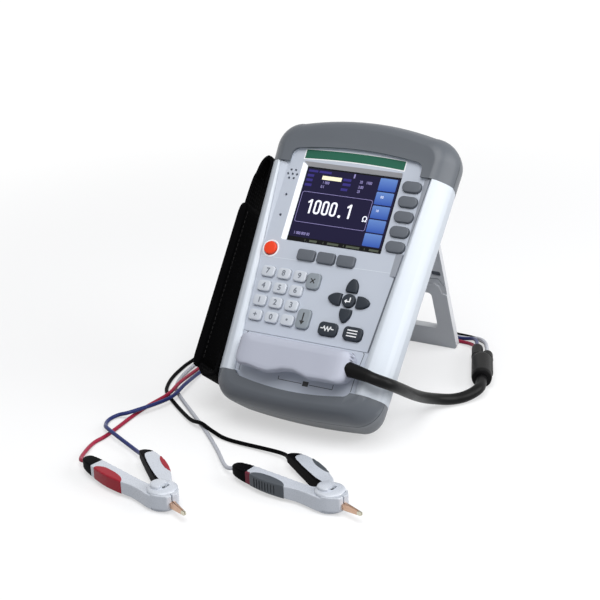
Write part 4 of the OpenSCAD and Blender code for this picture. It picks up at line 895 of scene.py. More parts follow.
# Caps with rounded rims and slightly crowned tops, each on its own slide
def keyCap(node, key):
    top, edge, outline = keys["top"], keys["edge"], key["outline"]
    (wide, tall), (midX, midY) = key["flange"], key["centre"]
    steps = [(keys["base"], 0.0), (top - edge, 0.0)]
    steps += [(top - edge + edge * math.sin(math.radians(a)), -edge * (1 - math.cos(math.radians(a))))
        for a in (18, 36, 54, 72, 90)]
    rings = [[(x, y, z) for x, y in outline(grow)] for z, grow in steps]
    for share in (0.9, 0.75, 0.55, 0.3):
        z = top + keys["crown"] * (1 - share ** 2)
        rings.append([(midX + (x - midX) * share, midY + (y - midY) * share, z) for x, y in outline(-edge)])
    rim = block("rim", (-wide / 2, midY - tall / 2, keys["base"] - keys["flange"]),
        (wide / 2, midY + tall / 2, keys["base"]))
    cap = joinPieces(key["name"], [loft(key["name"], rings), rim])
    local = Matrix.Translation((*key["at"], 0)) @ Matrix.Rotation(math.radians(key["turn"]), 4, "Z")
    place(cap, casePlace @ local, key["finish"], bodyOf(node), (node,))
    shade(cap, 50)


def keyMark(piece, node, surface):
    return place(piece, casePlace, surface, bodyOf(node))


for node, key in spots.items():
    keyCap(node, key)
markZ = keys["top"] + keys["crown"] + 0.01
for node, (column, row, text) in grid.items():
    title, at = spots[node]["name"].replace("cap", "mark"), spots[node]["at"]
    keyMark(lettering(title, text, keys["figure"], at, markZ + 0.02, weight=0.16), node, greyInk)
x, y, d = keys["centre"]
enter = [bar(x + 1.1, x + 1.9, y - 1.3, y + 2.1), bar(x - 1, x + 1.4, y - 1.3, y - 0.5),
    [(x - 2.6, y - 0.9), (x - 0.8, y - 2.4), (x - 0.8, y + 0.6)]]
keyMark(flatMarks("markCentre", enter, markZ), "centre_key", whiteInk)
x, y = keys["escape"][:2]
cross = [turned(bar(-2.3, 2.3, -0.4, 0.4), a, (x, y)) for a in (45, -45)]
keyMark(flatMarks("markEscape", cross, markZ), "escape_key", blackInk)
x, y = keys["backspace"][:2]
arrow = [bar(x - 0.5, x + 0.5, y - 1.5, y + 4.2), [(x - 2, y - 1.5), (x, y - 4.4), (x + 2, y - 1.5)]]
keyMark(flatMarks("markBackspace", arrow, markZ), "backspace_key", blackInk)
x, y = keys["measure"][:2]
zigzag = [(-4.8, 0), (-3, 0), (-2.4, 1.6), (-1.2, -1.6), (0, 1.6), (1.2, -1.6), (2.4, 1.6), (3, 0), (4.8, 0)]
strokes = []
for (ax, ay), (bx, by) in zip(zigzag, zigzag[1:]):
    long = math.hypot(bx - ax, by - ay)
    strokes.append(turned(bar(-long / 2 - 0.2, long / 2 + 0.2, -0.36, 0.36),
        math.degrees(math.atan2(by - ay, bx - ax)), (x + (ax + bx) / 2, y + (ay + by) / 2)))
keyMark(flatMarks("markMeasure", strokes, markZ), "measure_key", whiteInk)
x, y = keys["setup"][:2]
lines = [bar(x - 3.8, x + 3.8, y + dy - 0.38, y + dy + 0.38) for dy in (-2, 0, 2)]
keyMark(flatMarks("markSetup", lines, markZ), "setup_key", whiteInk)
print("keys made")

# Screen: glass over a picture of plain numbers and bars
screen = {"glass": -2.4, "lift": 0.02, "picture": (0.006, 0.988, 0.02, 0.938),
    "frame": ((0.0201, 0.3323), (0.773, 0.7434)), "frameR": 1.6, "frameLine": 0.32,
    "entry": (0.1833, 0.3908, 0.0996, 0.151), "tick": (0.508, 0.523, 0.0275, 0.083)}
# Plain values: text, then the shares of the screen's width and height at its middle
values = [("1 000", 0.237, 0.19), ("0.1", 0.213, 0.246), ("20", 0.6, 0.121), ("1000", 0.683, 0.121),
    ("3.00", 0.609, 0.19), ("25", 0.598, 0.2475), ("1 000 000 00", 0.137, 0.8895)]
onButtons = [("00", 0.853, 0.28), ("10", 0.843, 0.462)]
# Plain bars where small words stand: left end, width, and the height where it differs from bar to bar
names = [(0.021, 0.07, 0.116), (0.02, 0.068, 0.177), (0.019, 0.072, 0.242), (0.409, 0.084, 0.118),
    (0.414, 0.084, 0.179), (0.409, 0.07, 0.2475)]
titles = [(0.022, 0.1), (0.137, 0.13)]
lowRow = [(0.24, 0.08), (0.43, 0.12), (0.63, 0.14), (0.87, 0.1), (0.19, 0.006), (0.385, 0.006), (0.6, 0.006),
    (0.82, 0.006)]


def onScreen(u, v):
    # Share of the width from the left and of the height from the top
    return (window["x"] + (u - 0.5) * window["w"], window["y"] + (0.5 - v) * window["h"])


def screenBar(u0, u1, v0, v1, r=0.0):
    (x0, y1), (x1, y0) = onScreen(u0, v0), onScreen(u1, v1)
    if r:
        return [(x + (x0 + x1) / 2, y + (y0 + y1) / 2) for x, y in rounded(x1 - x0, y1 - y0, r, steps=4)]
    return bar(x0, x1, y0, y1)


def pixels(name, colour, colourLow=None, strength=0.35):
    # Backlit display behind anti-glare glass: colour glows a little and hardly reflects
    surface, tree, shader, at = newMaterial(name)
    share = noise(tree, at, 4000.0, 1.0)
    if colourLow:
        share = addNode(tree, "ShaderNodeAttribute", {"attribute_name": "shadeDown"}).outputs["Fac"]
    glow = mixedColour(tree, share, tone(colour), tone(colourLow or colour))
    feed(tree, shader, {"Base Color": glow, "Emission Color": glow, "Emission Strength": strength,
        "Specular IOR Level": 0.12, "Roughness": 0.35})
    return surface


screenNavy = pixels("screenNavy", "#15122e")
screenBlack = pixels("screenBlack", "#08080a", strength=0.0)
screenWhite = pixels("screenWhite", "#eef0fa", strength=0.3)
screenLilac = pixels("screenLilac", "#8d86b8", strength=0.2)
screenPurple = pixels("screenPurple", "#352f74", strength=0.22)
screenCream = pixels("screenCream", "#f0ecc8", strength=0.3)
screenBlue = pixels("screenBlue", "#6486c4", "#3656a8", strength=0.15)
screenGreen = pixels("screenGreen", "#50564a", strength=0.1)

glass = cadCopy("screenGlass", "screen_lens")
place(glass, None, screenBlack, "meter", ("screen_lens",))
soften(glass, 0.2)
z0 = screen["glass"] + screen["lift"]


def showOn(piece, surface):
    return place(piece, casePlace, surface, "meter")


showOn(flatMarks("screenPicture", [screenBar(*screen["picture"])], z0), screenNavy)
labels = {"u": (0.7867, 0.967), "v": 0.0311, "step": 0.1825, "h": 0.166, "count": 5}
labelTops = [labels["v"] + labels["step"] * i for i in range(labels["count"])]
buttons = flatMarks("screenButtons", [screenBar(*labels["u"], v, v + labels["h"], 0.6) for v in labelTops],
    z0 + 0.03)
# Each button grows darker downwards: the attribute is the share of its height
attribute = buttons.data.attributes.new("shadeDown", "FLOAT", "POINT")
tops = [onScreen(0, v)[1] for v in labelTops]
downs = [min(t for t in tops if t > p.co.y - 0.01) - p.co.y for p in buttons.data.vertices]
attribute.data.foreach_set("value", [min(max(down / (labels["h"] * window["h"]), 0), 1) for down in downs])
showOn(buttons, screenBlue)
(x0, y1), (x1, y0) = (onScreen(*corner) for corner in screen["frame"])
midX, midY = (x0 + x1) / 2, (y0 + y1) / 2
outer, inner = [[(x + midX, y + midY) for x, y in rounded(x1 - x0, y1 - y0, screen["frameR"], grow)]
    for grow in (0, -screen["frameLine"])]
frameLine = prism("screenFrame", outer, z0 + 0.03, z0 + 0.06)
carve(frameLine, prism("inside", inner, z0, z0 + 0.1))
showOn(frameLine, screenLilac)
reading = {"y": 38.9, "h": 10.5, "w": 5.1, "stroke": 1.4, "zeros": (-21.4, -15.1, -8.8), "ones": (-26.8, 4.0),
    "point": (-3.2, 34.4, 2.1), "unit": (16.6, 34.9), "unitSize": 5.4, "flag": [(2.7, 2.1), (2.3, 3.1)]}
digits = []
for x in reading["zeros"]:
    w, h, line = reading["w"], reading["h"], reading["stroke"]
    shapes = [[(x + a, reading["y"] + b) for a, b in rounded(w, h, 2.3, grow)] for grow in (0, -line)]
    digit = prism("digit", shapes[0], z0 + 0.05, z0 + 0.08)
    digits.append(carve(digit, prism("inside", shapes[1], z0, z0 + 0.2)))
for x in reading["ones"]:
    low, top, half = reading["y"] - reading["h"] / 2, reading["y"] + reading["h"] / 2, reading["stroke"] / 2
    flag = [(x - dx, top - dy) for dx, dy in reading["flag"]]
    one = [(x - half, low), (x + half, low), (x + half, top), (x - half * 0.6, top)]
    one += flag + [(x - half, top - 2.2)]
    digits.append(prism("digit", one, z0 + 0.05, z0 + 0.08))
x, y, d = reading["point"]
digits.append(disc("digit", (x, y), d, z0 + 0.05, z0 + 0.08))
digits.append(lettering("digit", "\u03a9", reading["unitSize"], reading["unit"], z0 + 0.05, 0.95, 0.12))
digits += [lettering("digit", text, 2.6, onScreen(u, v), z0 + 0.05, 0.9) for text, u, v in onButtons]
showOn(joinPieces("screenReading", digits), screenWhite)
small = [lettering("small", text, 2.9, onScreen(u, v), z0 + 0.05, 0.8, 0.05) for text, u, v in values]
small.append(flatMarks("tick", [screenBar(*screen["tick"])], z0 + 0.05))
showOn(joinPieces("screenValues", small), screenLilac)
bars = [screenBar(u, u + w, v - 0.017, v + 0.017) for u, w, v in names]
bars += [screenBar(u, u + w, 0.04, 0.068) for u, w in titles]
showOn(flatMarks("screenLabels", bars, z0 + 0.03), screenPurple)
showOn(flatMarks("screenEntry", [screenBar(*screen["entry"])], z0 + 0.03), screenCream)
showOn(flatMarks("screenRow", [screenBar(u, u + w, 0.956, 0.984) for u, w in lowRow], z0), screenGreen)

# Title strip above the screen: bare green enamel with a pale border
strip = {"x": (-41.5, 37.2), "y": (71.8, 79.45), "rise": 1.35, "border": 0.8, "topBorder": 0.4}


def stripOutline(grow):
    # Both long sides are arched; the border is thinner along the upper one
    n = 16
    (x0, x1), (y0, y1), rise = strip["x"], strip["y"], strip["rise"]
    mid, half, top = (x0 + x1) / 2, (x1 - x0) / 2, y1 + max(grow, -strip["topBorder"])
    shares = [i / n for i in range(n + 1)]
    low = [(x0 - grow + (x1 - x0 + 2 * grow) * t, y0 - grow + rise * (1 - (2 * t - 1) ** 2)) for t in shares]
    return low + [(x, top + rise * (1 - ((x - mid) / half) ** 2)) for x, y in reversed(low)]


# Printed and lacquered strip: smooth deep green
stripEnamel = moulded("stripEnamel", {"colour": "#22614c", "dark": "#1d5845", "rough": 0.4,
    "grainMm": 1.2, "bump": 0.03, "spec": 0.25, "rub": 0})
place(flatMarks("titleBorder", [stripOutline(0.0)], 0.0, 0.06), casePlace, whiteInk, "meter")
place(flatMarks("titleStrip", [stripOutline(-strip["border"])], 0.06, 0.04), casePlace, stripEnamel, "meter")
print("screen made")

# The back shell and the battery cover keep the shape of their solids; the stand gets its ledges and slots
for node, name, edge in (("rear_case", "rearShell", 0.4), ("battery_cover", "batteryCover", 0.3)):
    piece = cadCopy(name, node)
    place(piece, None, paleAbs, bodyOf(node), (node,))
    soften(piece, edge, flat=casePlace)
stand = {"hinge": (0, 77, -43.2), "open": 58, "window": (48.6, 35, 3, -115), "foot": (37, -151.2, 3.5),
    "front": 2.5, "recess": 0.9, "step": [(22.9, -88.7), (27.9, -87.2), (31, -89), (32.5, -92.5), (33, -96.5),
    (40, -98.2), (40, -35)], "slot": (30.8, -78, 7.6, 4.4, 1.5), "groove": [(23, -84.4), (31.4, -83.6),
    (33.2, -86.2), (35.2, -89.4), (36, -88.7), (34, -85.2), (31.9, -82.4), (23, -83.2)]}
standTurn = Matrix.Rotation(math.radians(stand["open"]), 4, "X")
standPlace = casePlace @ Matrix.Translation(stand["hinge"]) @ standTurn
w, h, r, y = stand["window"]
tools = [prism("window", [(a, b + y) for a, b in rounded(w, h, r)], -6, 6)]
tools.append(prism("recess", stand["step"] + [(-x, y) for x, y in reversed(stand["step"])],
    stand["front"] - stand["recess"], 6))
for side in (-1, 1):
    x, y, w, h, r = stand["slot"]
    opening, floorOutline = [[(side * x + a, y + b) for a, b in rounded(w, h, r, grow)] for grow in (0, -0.1)]
    tools.append(prism("slot", opening, 0.4, 6))
    # A dark grey floor in each slot: painted shade
    place(prism("standSlotShade", floorOutline, 0.3, 0.6), standPlace, gapShadeAbs, bodyOf("stand"))
    tools.append(prism("groove", [(side * x, y) for x, y in stand["groove"]], 0.8, 6))
    x, y, r = stand["foot"]
    corner = [(x - r + r * math.cos(a), y + r - r * math.sin(a))
        for a in (math.pi / 2 * i / 6 for i in range(7))]
    corner += [(x - r, y - 9), (x + 9, y - 9), (x + 9, y + r)]
    tools.append(prism("foot", [(side * x, y) for x, y in corner], -6, 6))
standFrame = cadCopy("standFrame", "stand")
for tool in tools:
    tool.data.transform(standPlace)
    carve(standFrame, tool)
place(standFrame, None, standAbs, bodyOf("stand"), ("stand",))
soften(standFrame, 0.6, flat=standPlace)
print("stand made,", len(standFrame.data.polygons), "faces")

# Plug: a pillow-shaped housing with a finger wave, ribs at its ends and a tapered sleeve for the lead
plug = {"w": 84, "h": 23, "t": 16, "y": -71.5, "r": 5, "crown": 5.6, "endSlope": 1.5, "lowCrown": 0.28,
    "undercut": 3.2, "lowEdge": [(-42, -82.3), (-28.6, -83), (-21, -84.4), (-14, -84.9), (-8.5, -83.2),
    (-3.7, -81.5), (5, -81), (10.5, -82.4), (16, -84), (28, -83.5), (36.5, -83.3), (42, -82.5)], "ribs": 3,
    "ribStep": 2.3, "ribLength": 5.5, "ribR": 0.5, "ribAt": [("Left", -42.1, 2.6, 9.2),
    ("Right", 42.1, 6.2, 9)], "sleeve": 17, "sleeveR": (5.2, 4.1)}


def lowEdge(x):
    # Height of the wavy lower side above the plain rounded block
    for (x0, y0), (x1, y1) in zip(plug["lowEdge"], plug["lowEdge"][1:]):
        if x <= x1:
            break
    share = min(max((x - x0) / (x1 - x0), 0), 1)
    return y0 + (y1 - y0) * share - plug["y"] + plug["h"] / 2


def plugRing(z, inset):
    # The outline at height z: the lower side waves and is undercut, the ends slope
    w, h, r = plug["w"] / 2 - inset * plug["endSlope"], plug["h"] / 2 - inset, plug["r"] - inset / 2
    under = plug["undercut"] * max(1 - z / (plug["t"] - plug["crown"]), 0) - inset * (1 - plug["lowCrown"])
    n = 40
    ring = (arc(w - r, h - r, r, 0, 9) + [(w - r - 2 * (w - r) * i / 12, h) for i in range(1, 12)]
        + arc(r - w, h - r, r, 90, 9) + arc(r - w, r - h, r, 180, 9)
        + [(r - w + 2 * (w - r) * i / n, -h) for i in range(1, n)] + arc(w - r, r - h, r, 270, 9))
    return [(x, y + plug["y"] + (lowEdge(x) + under if y < r - h + 0.01 else 0), z) for x, y in ring]


plugRings = [plugRing(0.06, 0.0)]
for k in range(9):
    u = 1 - k / 8
    inset = plug["crown"] * (1 - math.sqrt(1 - (1 - u) ** 2))
    plugRings.append(plugRing(plug["t"] - plug["crown"] * u, inset))
for share in (0.8, 0.55, 0.3):
    base = plugRing(plug["t"], plug["crown"])
    plugRings.append([(x * (share + (1 - share) * 0.15), plug["y"] + (y - plug["y"]) * share, plug["t"])
        for x, y, z in base])
shell = loft("plugShell", plugRings)
place(shell, casePlace, plugAbs, "test_lead", ("plug_housing",))
soften(shell, 0.4, 45)
ribLook = {"Length": plug["ribLength"], "Radius": plug["ribR"], "Direction": (0, 0, 1), "Finish": plugAbs}
for name, x, y, z in plug["ribAt"]:
    places = [(x, plug["y"] + y + i * plug["ribStep"], z) for i in range(plug["ribs"])]
    ribs = rods("plugRibs" + name, rodSpots, ribLook, places)
    place(ribs, casePlace, plugAbs, "test_lead")
    shade(ribs, 60)

leadPath = cordPieces["lead"][1]
sleevePath, gone = [leadPath[0]], 0.0
for a, b in zip(leadPath, leadPath[1:]):
    gone += (b - a).length
    if gone > plug["sleeve"] * mm:
        break
    sleevePath.append(b)
start = leadPath[0] - (leadPath[1] - leadPath[0]).normalized() * mm
thick, thin = plug["sleeveR"]
sleeve = tube("plugSleeve", [start] + sleevePath, lambda t: (thick + (thin - thick) * t) * mm, 28)
place(sleeve, None, blackRubber, "test_lead")
print("plug made")

# Hand strap: nylon webbing through the lugs, with a padded sleeve sewn round its long run
strap = {"out": 87, "thick": 8, "wide": 38, "low": -86, "high": 37, "depth": 26, "webbing": 2.4,
    "webbingWide": 32, "lugHigh": -71.46, "lugLow": -66.85, "stitch": 3.4, "thread": 0.28, "seam": 15.4,
    "tuck": 0.18, "endRound": 7}
hi, lo, line = strap["lugHigh"], strap["lugLow"], -strap["out"] + strap["thick"] / 2
strapRoute = [(hi, 52), (hi, 67), (hi - 1.6, 72), (hi - 4.6, 74), (hi - 7.9, 70), (hi - 9.6, 62), (line, 42),
    (line, -60), (line + 1.4, -80), (line + 4.4, -88), (line + 9, -91), (lo - 1.6, -89.4), (lo, -86.6),
    (lo, -73)]


def woven(name, look):
    # Fabric: two crossed sets of threads, a soft sheen and no gloss
    surface, tree, shader, at = newMaterial(name)
    flat = addNode(tree, "ShaderNodeMapping", None,
        {"Vector": at, "Rotation": (math.radians(standing["lean"] - 90), 0, 0)})
    threads = []
    for way in ("Y", "Z"):
        bands = {"wave_type": "BANDS", "bands_direction": way, "wave_profile": "SIN"}
        threads.append(addNode(tree, "ShaderNodeTexWave", bands, {"Vector": flat.outputs["Vector"],
            "Scale": 160 / look["threadMm"], "Distortion": 0.4, "Detail": 1.0}))
    weave = worked(tree, "MULTIPLY", threads[0].outputs["Fac"], threads[1].outputs["Fac"])
    bump = addNode(tree, "ShaderNodeBump", None,
        {"Strength": look["bump"], "Distance": look["threadMm"] * mm * 0.3, "Height": weave})
    feed(tree, shader, {"Base Color": mixedColour(tree, weave, tone(look["dark"]), tone(look["colour"])),
        "Normal": bump.outputs["Normal"], "Roughness": look["rough"], "Specular IOR Level": 0.03,
        "Sheen Weight": look["sheen"], "Sheen Roughness": 0.4})
    return surface


# Woven nylon band: black, ribbed, faint sheen
nylonWebbing = woven("nylonWebbing", {"colour": "#0c0c0d", "dark": "#040405", "threadMm": 1.4, "bump": 0.6,
    "rough": 0.7, "sheen": 0.01})
# Knit over foam: soft black without gloss
neopreneKnit = woven("neopreneKnit", {"colour": "#070708", "dark": "#030304", "threadMm": 0.8, "bump": 0.4,
    "rough": 0.8, "sheen": 0.01})
# Twisted dark grey sewing thread
nylonThread = woven("nylonThread", {"colour": "#3c3a3a", "dark": "#242324", "threadMm": 0.3, "bump": 0.3,
    "rough": 0.6, "sheen": 0.05})
path = [p.to_2d() for p in smoothPath([(x, y, 0) for x, y in strapRoute], 1.6)]
rings = []
for i, p in enumerate(path):
    way = (path[min(i + 1, len(path) - 1)] - path[max(i - 1, 0)]).normalized()
    side = Vector((-way.y, way.x))
    rings.append([(p.x + side.x * a, p.y + side.y * a, b - strap["depth"])
        for a, b in rounded(strap["webbing"], strap["webbingWide"], 0.9, steps=3)])
place(shade(loft("strapWebbing", rings), 50), casePlace, nylonWebbing, "meter", ("hand_strap",))


def padTuck(b):
    # The padding is full along its middle and pulled in at its long edges
    return 1 - strap["tuck"] + strap["tuck"] * math.cos(math.pi * b / strap["wide"])


def padRing(y):
    ends = min((y - strap["low"]) / strap["endRound"], (strap["high"] - y) / strap["endRound"], 1)
    full = math.sqrt(max(1 - (1 - ends) ** 2, 0.0))
    thick, wide = strap["thick"] * (0.32 + 0.68 * full), strap["wide"] * (0.86 + 0.14 * full)
    ring = rounded(thick, wide, 2.9 * (0.3 + 0.7 * full), steps=6)
    sides = ring + [ring[0]]
    points = []
    for (ax, ay), (bx, by) in zip(sides, sides[1:]):
        points += [(ax + (bx - ax) * k / 3, ay + (by - ay) * k / 3) for k in range(3)]
    return [(line + a * padTuck(b), y, b - strap["depth"]) for a, b in points]


ys = [strap["low"] + t for t in (0.01, 0.5, 1.2, 2.4, 4, 7)]
ys += [strap["low"] + 7 + (strap["high"] - strap["low"] - 14) * i / 30 for i in range(1, 30)]
ys += [strap["high"] - t for t in (7, 4, 2.4, 1.2, 0.5, 0.01)]
pad = shade(loft("strapPad", [padRing(y) for y in ys]), 60)
place(pad, casePlace, neopreneKnit, "meter")
outer = strap["thick"] / 2 * padTuck(strap["seam"])
stitches = {"Spacing": strap["stitch"], "Length": strap["stitch"] * 0.7, "Radius": strap["thread"],
    "Finish": nylonThread}
for name, x, z in (("Front", line - outer, strap["seam"]), ("Rear", line - outer, -strap["seam"]),
        ("Inner", line + outer, strap["seam"])):
    points = [(x, y, z - strap["depth"]) for y in range(strap["low"] + 8, strap["high"] - 6)]
    seam = rods("padSeam" + name, rodRun, stitches, points)
    place(shade(seam, 60), casePlace, nylonThread, "meter")
print("strap made")


# Soft moulded shapes: solids melted together, then smoothed
def melted(piece, grain=0.5, rounds=6):
    skin = piece.modifiers.new("skin", "REMESH")
    skin.mode, skin.voxel_size = "VOXEL", grain
    soft = piece.modifiers.new("soft", "SMOOTH")
    soft.factor, soft.iterations = 0.5, rounds
    return applyModifiers(piece)


def cut(piece, name, tool, out):
    # The part of a piece inside a tool, pushed out a little along its normals
    part = newPiece(name, [], [])
    part.data = piece.data.copy()
    carve(part, tool, "INTERSECT")
    normals = [v.normal.copy() for v in part.data.vertices]
    for v, n in zip(part.data.vertices, normals):
        v.co += n * out
    return part


def closedCurve(points, steps=6):
    points = [Vector((p[0], p[1], 0)) for p in points]
    count, curve = len(points), []
    for i in range(count):
        a, b, c, d = points[i - 1], points[i], points[(i + 1) % count], points[(i + 2) % count]
        for k in range(steps):
            t = k / steps
            q = 0.5 * (2 * b + (c - a) * t + (2 * a - 5 * b + 4 * c - d) * t * t
                + (3 * b - a - 3 * c + d) * t ** 3)
            curve.append((q.x, q.y))
    return curve


# Splitter: a barrel with a collar at the lead and two lobes, each with a sleeve at its wires
splitter = {"barrel": 15, "length": 34, "lobe": 8.6, "collar": (0.1, 3.6, 14.2), "longSleeve": (38, 40.6),
    "shortSleeve": (33, 34.4), "sleeve": 8.9}


def rod(name, a, b, d, tip=1.0, sides=40):
    # A round bar from a to b with eased ends
    a, b = Vector(a), Vector(b)
    way = (b - a).normalized()
    side = way.orthogonal().normalized()
    up = way.cross(side)
    far = (b - a).length
    stations = [(0, 0.86), (tip * 0.4, 0.96), (tip, 1), (far - tip, 1), (far - tip * 0.4, 0.94), (far, 0.8)]
    turns = [2 * math.pi * k / sides for k in range(sides)]
    rings = []
    for gone, share in stations:
        rings.append([a + way * gone + (side * math.cos(t) + up * math.sin(t)) * d / 2 * share
            for t in turns])
    return loft(name, rings)


long, short = cords["lobeLong"], cords["lobeShort"]
parts = [rod("barrel", (0.6, 0, 0), (splitter["length"], 0, 0), splitter["barrel"], 3),
    rod("lobe", (8, long[1], 0), (long[0], long[1], 0), splitter["lobe"], 2),
    rod("lobe", (8, short[1], 0), (short[0], short[1], 0), splitter["lobe"], 2)]
body = parts[0]
for part in parts[1:]:
    carve(body, part, "UNION")
body = melted(body, 0.45, 14)
body.name = "splitterBody"
x0, x1, d = splitter["collar"]
fittings = [("collar", (x0, 0, 0), (x1, 0, 0), d)]
for (x0, x1), y in ((splitter["longSleeve"], long[1]), (splitter["shortSleeve"], short[1])):
    fittings.append(("sleeve", (x0, y, 0), (x1, y, 0), splitter["sleeve"]))
for name, a, b, d in fittings:
    carve(body, rod(name, a, b, d, 0.6), "UNION")
place(shade(body, 45), floorPlace @ splitPlace, blackRubber, "test_lead", ("lead_splitter",))
print("splitter made")

# Clips: white shells with black boots at their tails, coloured grips and copper jaws
clip = {"lift": 0.1, "thick": 13.4, "arm": 12.4, "hub": 19.6, "gap": 0.3, "tongue": 5.4, "layer": 0.3,
    "cap": 11.6, "capT": 2.1, "capAt": (-2.4, -0.3), "capFlat": 1.2, "jawBend": 17.5, "nose": 13.2,
    "jaw": 29.0, "jawGap": 0.15, "pivot": 3.6, "middle": 7.1, "ribs": 8, "ribX": -52.4, "ribStep": 2.3,
    "ribLong": 7.2, "ribR": 0.4, "ribOut": 0.18, "bladeWide": (2.2, 1.0), "bladeTall": (2.4, 1.2),
    "plated": 2.8, "notch": (-1.6, 4.4, 1.5, 1.1), "oval": ((-33, 13.2, 11.4), (11.6, 3.7, 5.2))}
# How far each soft cover stands out of its shell
swell = {"boot": 0.22, "grip": 0.3, "band": 0.12, "inner": 0.2, "oval": 0.22}
armShape = [(-76, 3.4), (-74.4, 0.6), (-69.7, -2.2), (-61.8, -4.8), (-51.5, -7.3), (-43.4, -8.5),
    (-36.6, -8.7), (-29.9, -8.5), (-20.8, -8), (-12.5, -9), (-4, -10.7), (1, -10.8), (5, -10.1), (12.2, -7.4),
    (18, -5.6), (18, -2), (6, 1), (0, 1), (-9, 0.6), (-16, 0.5), (-24, 1.4), (-34, 2.6), (-46, 3.6),
    (-54, 4.4), (-62, 5.3), (-70, 6.5), (-75, 6.4)]
leverShape = [(-61.4, 3.6), (-60.4, 1.9), (-56, 1.5), (-49, 1.1), (-36, 0.6), (-24, 0.3), (-12, 0.2),
    (-10, 1), (-8, 4), (-10, 8.2), (-15, 10.5), (-23.5, 12.1), (-32.5, 12.8), (-42, 12.1), (-52, 10.4),
    (-58, 8), (-61, 5.6)]
# Covers: the boots at the tails, the grey arm's ring, the arms' grips and the levers' inner covers
bootShape = [(-90, -20), (-60.6, -20), (-60.9, -3), (-60.7, 2), (-60, 20), (-90, 20)]
bandShape = [(-60.5, -20), (-56.6, -20), (-56.5, -6), (-57.4, -4.3), (-60.75, -3.4)]
gripShape = [(-56.4, -24), (-56.3, -7), (-55.6, -3.9), (-53, -2.4), (-49.2, -1.7), (-41.6, -2.3), (-34.6, -4),
    (-30.6, -6.4), (-29.2, -9), (-29.1, -12), (-29, -24), (-42, -30)]
innerShape = [(-90, -20), (-12, -20), (-12, 1.9), (-20, 1.2), (-30, 1), (-40, 1.3), (-48, 2.1), (-52, 3.2),
    (-54, 5.2), (-54.6, 20), (-90, 20)]
# Distance from the pivot, height of the underside and thickness
armTaper = [(-76, 4.2, 5), (-72, 4, 6.2), (-65, 3.8, 7.3), (-57, 3.5, 8.2), (-40, 2.8, 8.6), (-27, 2.2, 8.9),
    (-12, 1.5, 10), (0, 1.4, 10.7), (7, 2.1, 10.3), (14, 3.1, 9.8)]
leverTaper = [(-61, 4.8, 5.2), (-57, 4.5, 6.4), (-51, 4.1, 7.6), (-44, 3.6, 8.4), (-32, 2.8, 8.9),
    (-22, 2.1, 9.1), (-10, 1.5, 10)]
middle = clip["middle"]
# Moulded TPE grip: deep red, satin
redGrip = moulded("redGrip", {"colour": "#9c1428", "dark": "#8e1023", "edge": "#b43a4c",
    "rough": 0.36, "grainMm": 0.5, "bump": 0.1, "spec": 0.2})
# Moulded PVC ring: dull maroon
maroonBand = moulded("maroonBand", {"colour": "#6e2a38", "dark": "#622431", "edge": "#7e3a48",
    "rough": 0.5, "grainMm": 0.5, "bump": 0.1, "spec": 0.12})
# Moulded TPE grip: mid grey, satin
greyGrip = moulded("greyGrip", {"colour": "#4c5157", "dark": "#44494f", "edge": "#70757b",
    "rough": 0.42, "grainMm": 0.5, "bump": 0.15, "spec": 0.3})
# Painted shade in the grey grip's grooves: nearly black, dull
gripGrooveShade = moulded("gripGrooveShade", {"colour": "#25282c", "dark": "#202327", "edge": "#2c3034",
    "rough": 0.5, "grainMm": 0.5, "bump": 0.1, "spec": 0.1})
# Moulded PVC boot: black, hardly glossy
bootRubber = moulded("bootRubber", {"colour": "#08080a", "dark": "#060607", "edge": "#121214",
    "rough": 0.5, "grainMm": 0.5, "bump": 0.15, "spec": 0.014})


def metal(name, colour, dark, rough, patchMm):
    # Bare or plated metal: patches in the colour and brushed lines in the gloss
    surface, tree, shader, at = newMaterial(name)
    patches = noise(tree, at, 1000 / patchMm, 5.0, 0.65)
    brushed = addNode(tree, "ShaderNodeMapping", None, {"Vector": at, "Scale": (1.0, 14.0, 14.0)})
    lines = noise(tree, brushed.outputs["Vector"], 400.0, 3.0)
    feed(tree, shader, {"Base Color": mixedColour(tree, patches, tone(colour), tone(dark)),
        "Roughness": ranged(tree, lines, rough - 0.1, rough + 0.14), "Metallic": 1.0})
    return surface


# Beryllium copper: warm metal, brushed
springCopper = metal("springCopper", "#d8b9a4", "#b8937a", 0.36, 6)
# Plated tip: pale metal
wornCopper = metal("wornCopper", "#d8d4c6", "#b9b49c", 0.3, 3)
# Nickel plated steel: bright, slightly uneven
platedSteel = metal("platedSteel", "#c8cacc", "#b0b3b6", 0.3, 4)
armTop = clip["lift"] + clip["arm"]


def bent(points):
    return turned(points, -clip["jawBend"])


def ball(name, at, radii, rings=24, sides=32):
    (x, y, z), (rx, ry, rz) = at, radii
    turns = [2 * math.pi * k / sides for k in range(sides)]
    layers = []
    for a in (math.pi * (i + 0.5) / rings for i in range(rings)):
        layers.append([(x + rx * math.sin(a) * math.cos(t), y + ry * math.sin(a) * math.sin(t),
            z - rz * math.cos(a)) for t in turns])
    return loft(name, layers)


def tapered(piece, rows):
    # Squeezes a flat prism between its underside and its top, row by row along the clip
    for v in piece.data.vertices:
        far = math.copysign(v.co.xy.length, v.co.x)
        low, thick = rows[0][1:] if far <= rows[0][0] else rows[-1][1:]
        for a, b in zip(rows, rows[1:]):
            if a[0] <= far <= b[0]:
                share = (far - a[0]) / (b[0] - a[0])
                low, thick = a[1] + (b[1] - a[1]) * share, a[2] + (b[2] - a[2]) * share
        v.co.z = low + (v.co.z - clip["lift"]) / clip["arm"] * thick
    return piece


